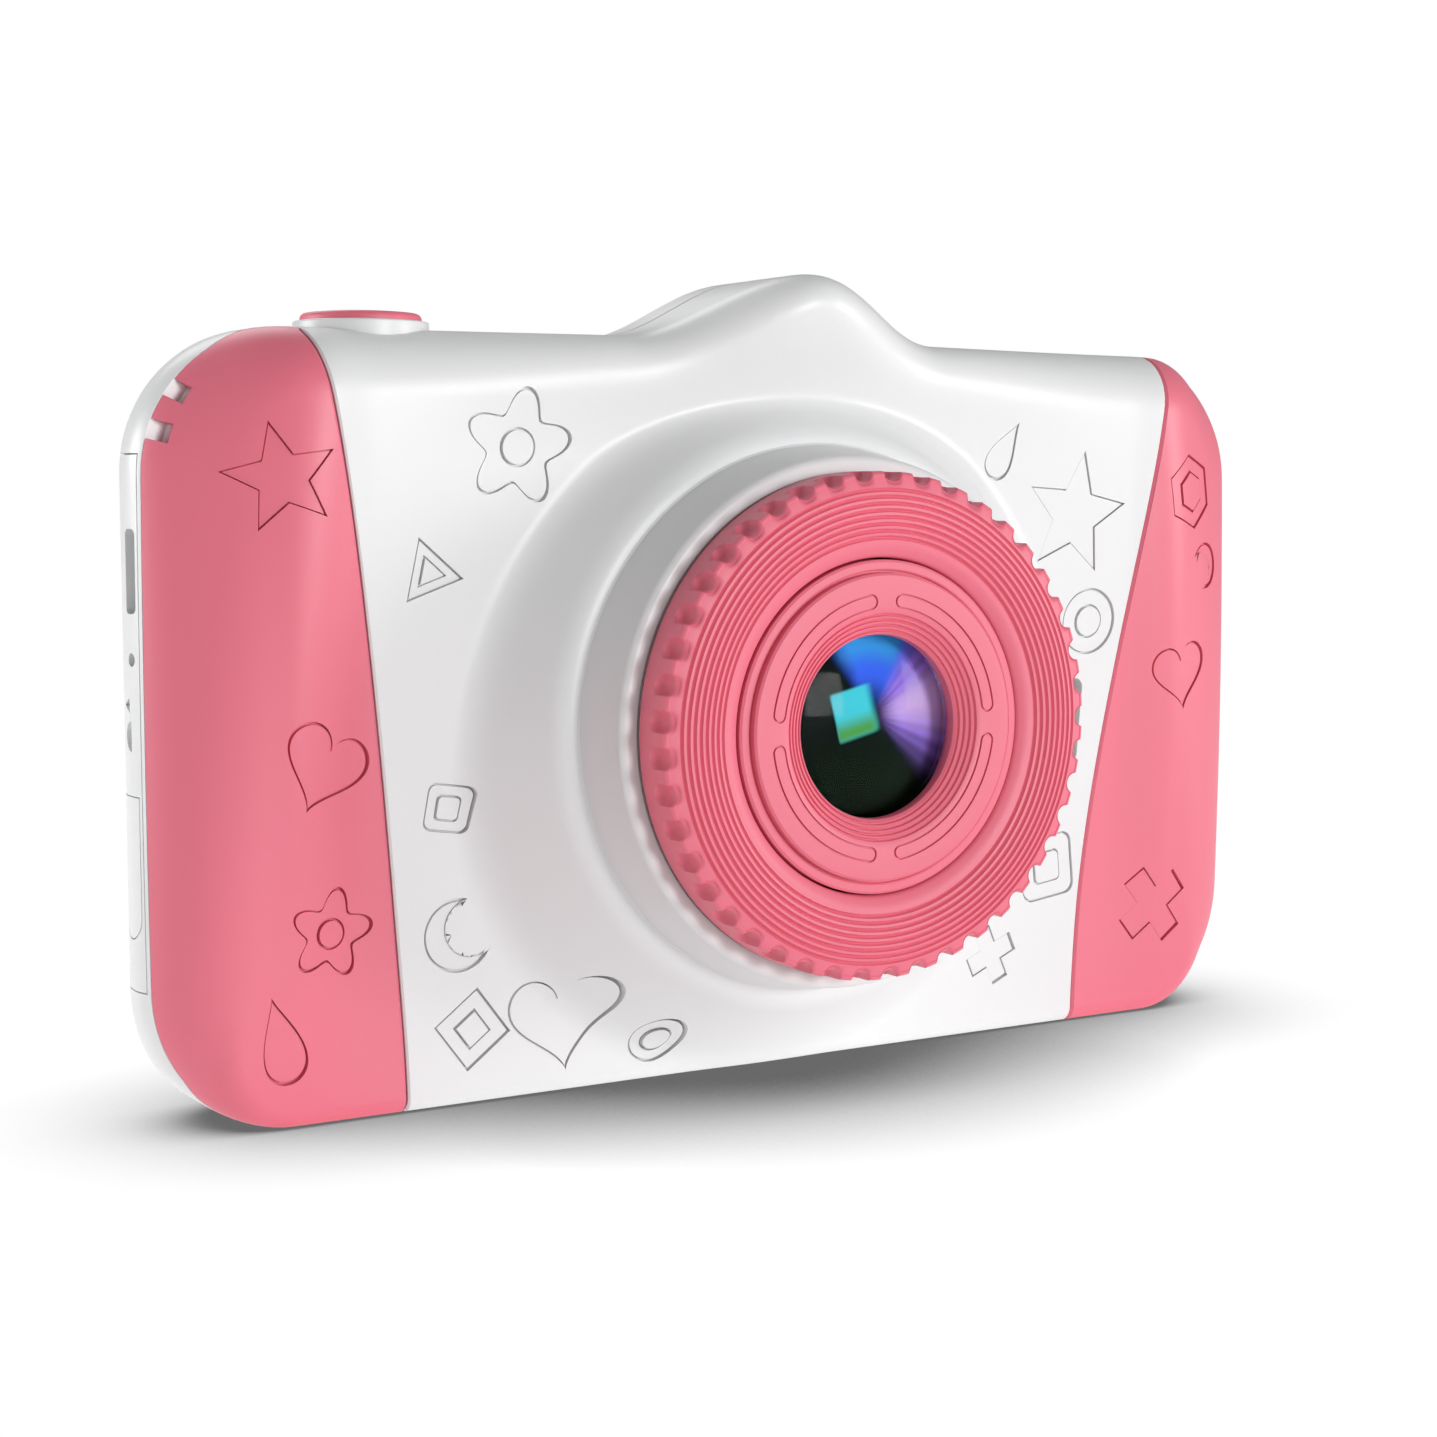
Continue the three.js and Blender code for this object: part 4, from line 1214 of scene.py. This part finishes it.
def studio():
    for name, (place, side, watts) in SOFTBOXES.items():
        area_light(name, place, (0, 0, 0.035), (side, side), watts)
    world = bpy.data.worlds.new("studio")
    world.use_nodes = True
    tree = world.node_tree
    sky = tree.nodes["Background"]
    sky.inputs["Color"].default_value = (1, 1, 1, 1)
    sky.inputs["Strength"].default_value = WORLD_STRENGTH
    seen = tree.nodes.new("ShaderNodeBackground")
    seen.inputs["Strength"].default_value = 1.0
    seen.inputs["Color"].default_value = (1, 1, 1, 1)
    path = tree.nodes.new("ShaderNodeLightPath")
    mix = tree.nodes.new("ShaderNodeMixShader")
    link(tree, path.outputs["Is Camera Ray"], mix.inputs["Fac"])
    link(tree, sky.outputs["Background"], mix.inputs[1])
    link(tree, seen.outputs["Background"], mix.inputs[2])
    link(tree, mix.outputs["Shader"], tree.nodes["World Output"].inputs["Surface"])
    scene.world = world
    scene.view_settings.view_transform = "Standard"



def floor():
    """A white sheet. The camera sees it as white as the background but for painted soft contact shadows.
    """
    reach = 3000.0
    plane = mesh_object("floor", [(-reach, -reach, 0), (reach, -reach, 0), (reach, reach, 0),
                                  (-reach, reach, 0)], [(0, 1, 2, 3)])
    paper = moulded("floor_paper", (0.8, 0.8, 0.8), 0.95, grain=0.1, tint=0.0)
    tree = paper.node_tree
    shader = tree.nodes["Principled BSDF"]
    shader.inputs["Emission Color"].default_value = (1, 1, 1, 1)
    shader.inputs["Emission Strength"].default_value = FLOOR_GLOW
    # Painted contact shadow: ambient occlusion dims the white glow that the camera sees.
    shade = tree.nodes.new("ShaderNodeAmbientOcclusion")
    shade.samples = 16
    shade.inputs["Distance"].default_value = 0.028
    level = tree.nodes.new("ShaderNodeMapRange")
    level.inputs["From Min"].default_value = 0.25
    level.inputs["From Max"].default_value = 0.92
    level.inputs["To Min"].default_value = 0.14
    level.inputs["To Max"].default_value = 1.02
    link(tree, shade.outputs["AO"], level.inputs["Value"])
    painted_shadow_emission = tree.nodes.new("ShaderNodeEmission")
    link(tree, level.outputs["Result"], painted_shadow_emission.inputs["Strength"])
    path = tree.nodes.new("ShaderNodeLightPath")
    mix = tree.nodes.new("ShaderNodeMixShader")
    link(tree, path.outputs["Is Camera Ray"], mix.inputs["Fac"])
    link(tree, shader.outputs["BSDF"], mix.inputs[1])
    link(tree, painted_shadow_emission.outputs["Emission"], mix.inputs[2])
    link(tree, mix.outputs["Shader"], tree.nodes["Material Output"].inputs["Surface"])
    plane.data.materials.append(paper)


camera()
studio()
floor()
front_shell()
grips()
rear_shell()
side_pieces()
lens_ring()
lens_bezel()
lens_glasses()
shutter()
shutter_coil()
keys()
screen()
screws()
carried_nodes()
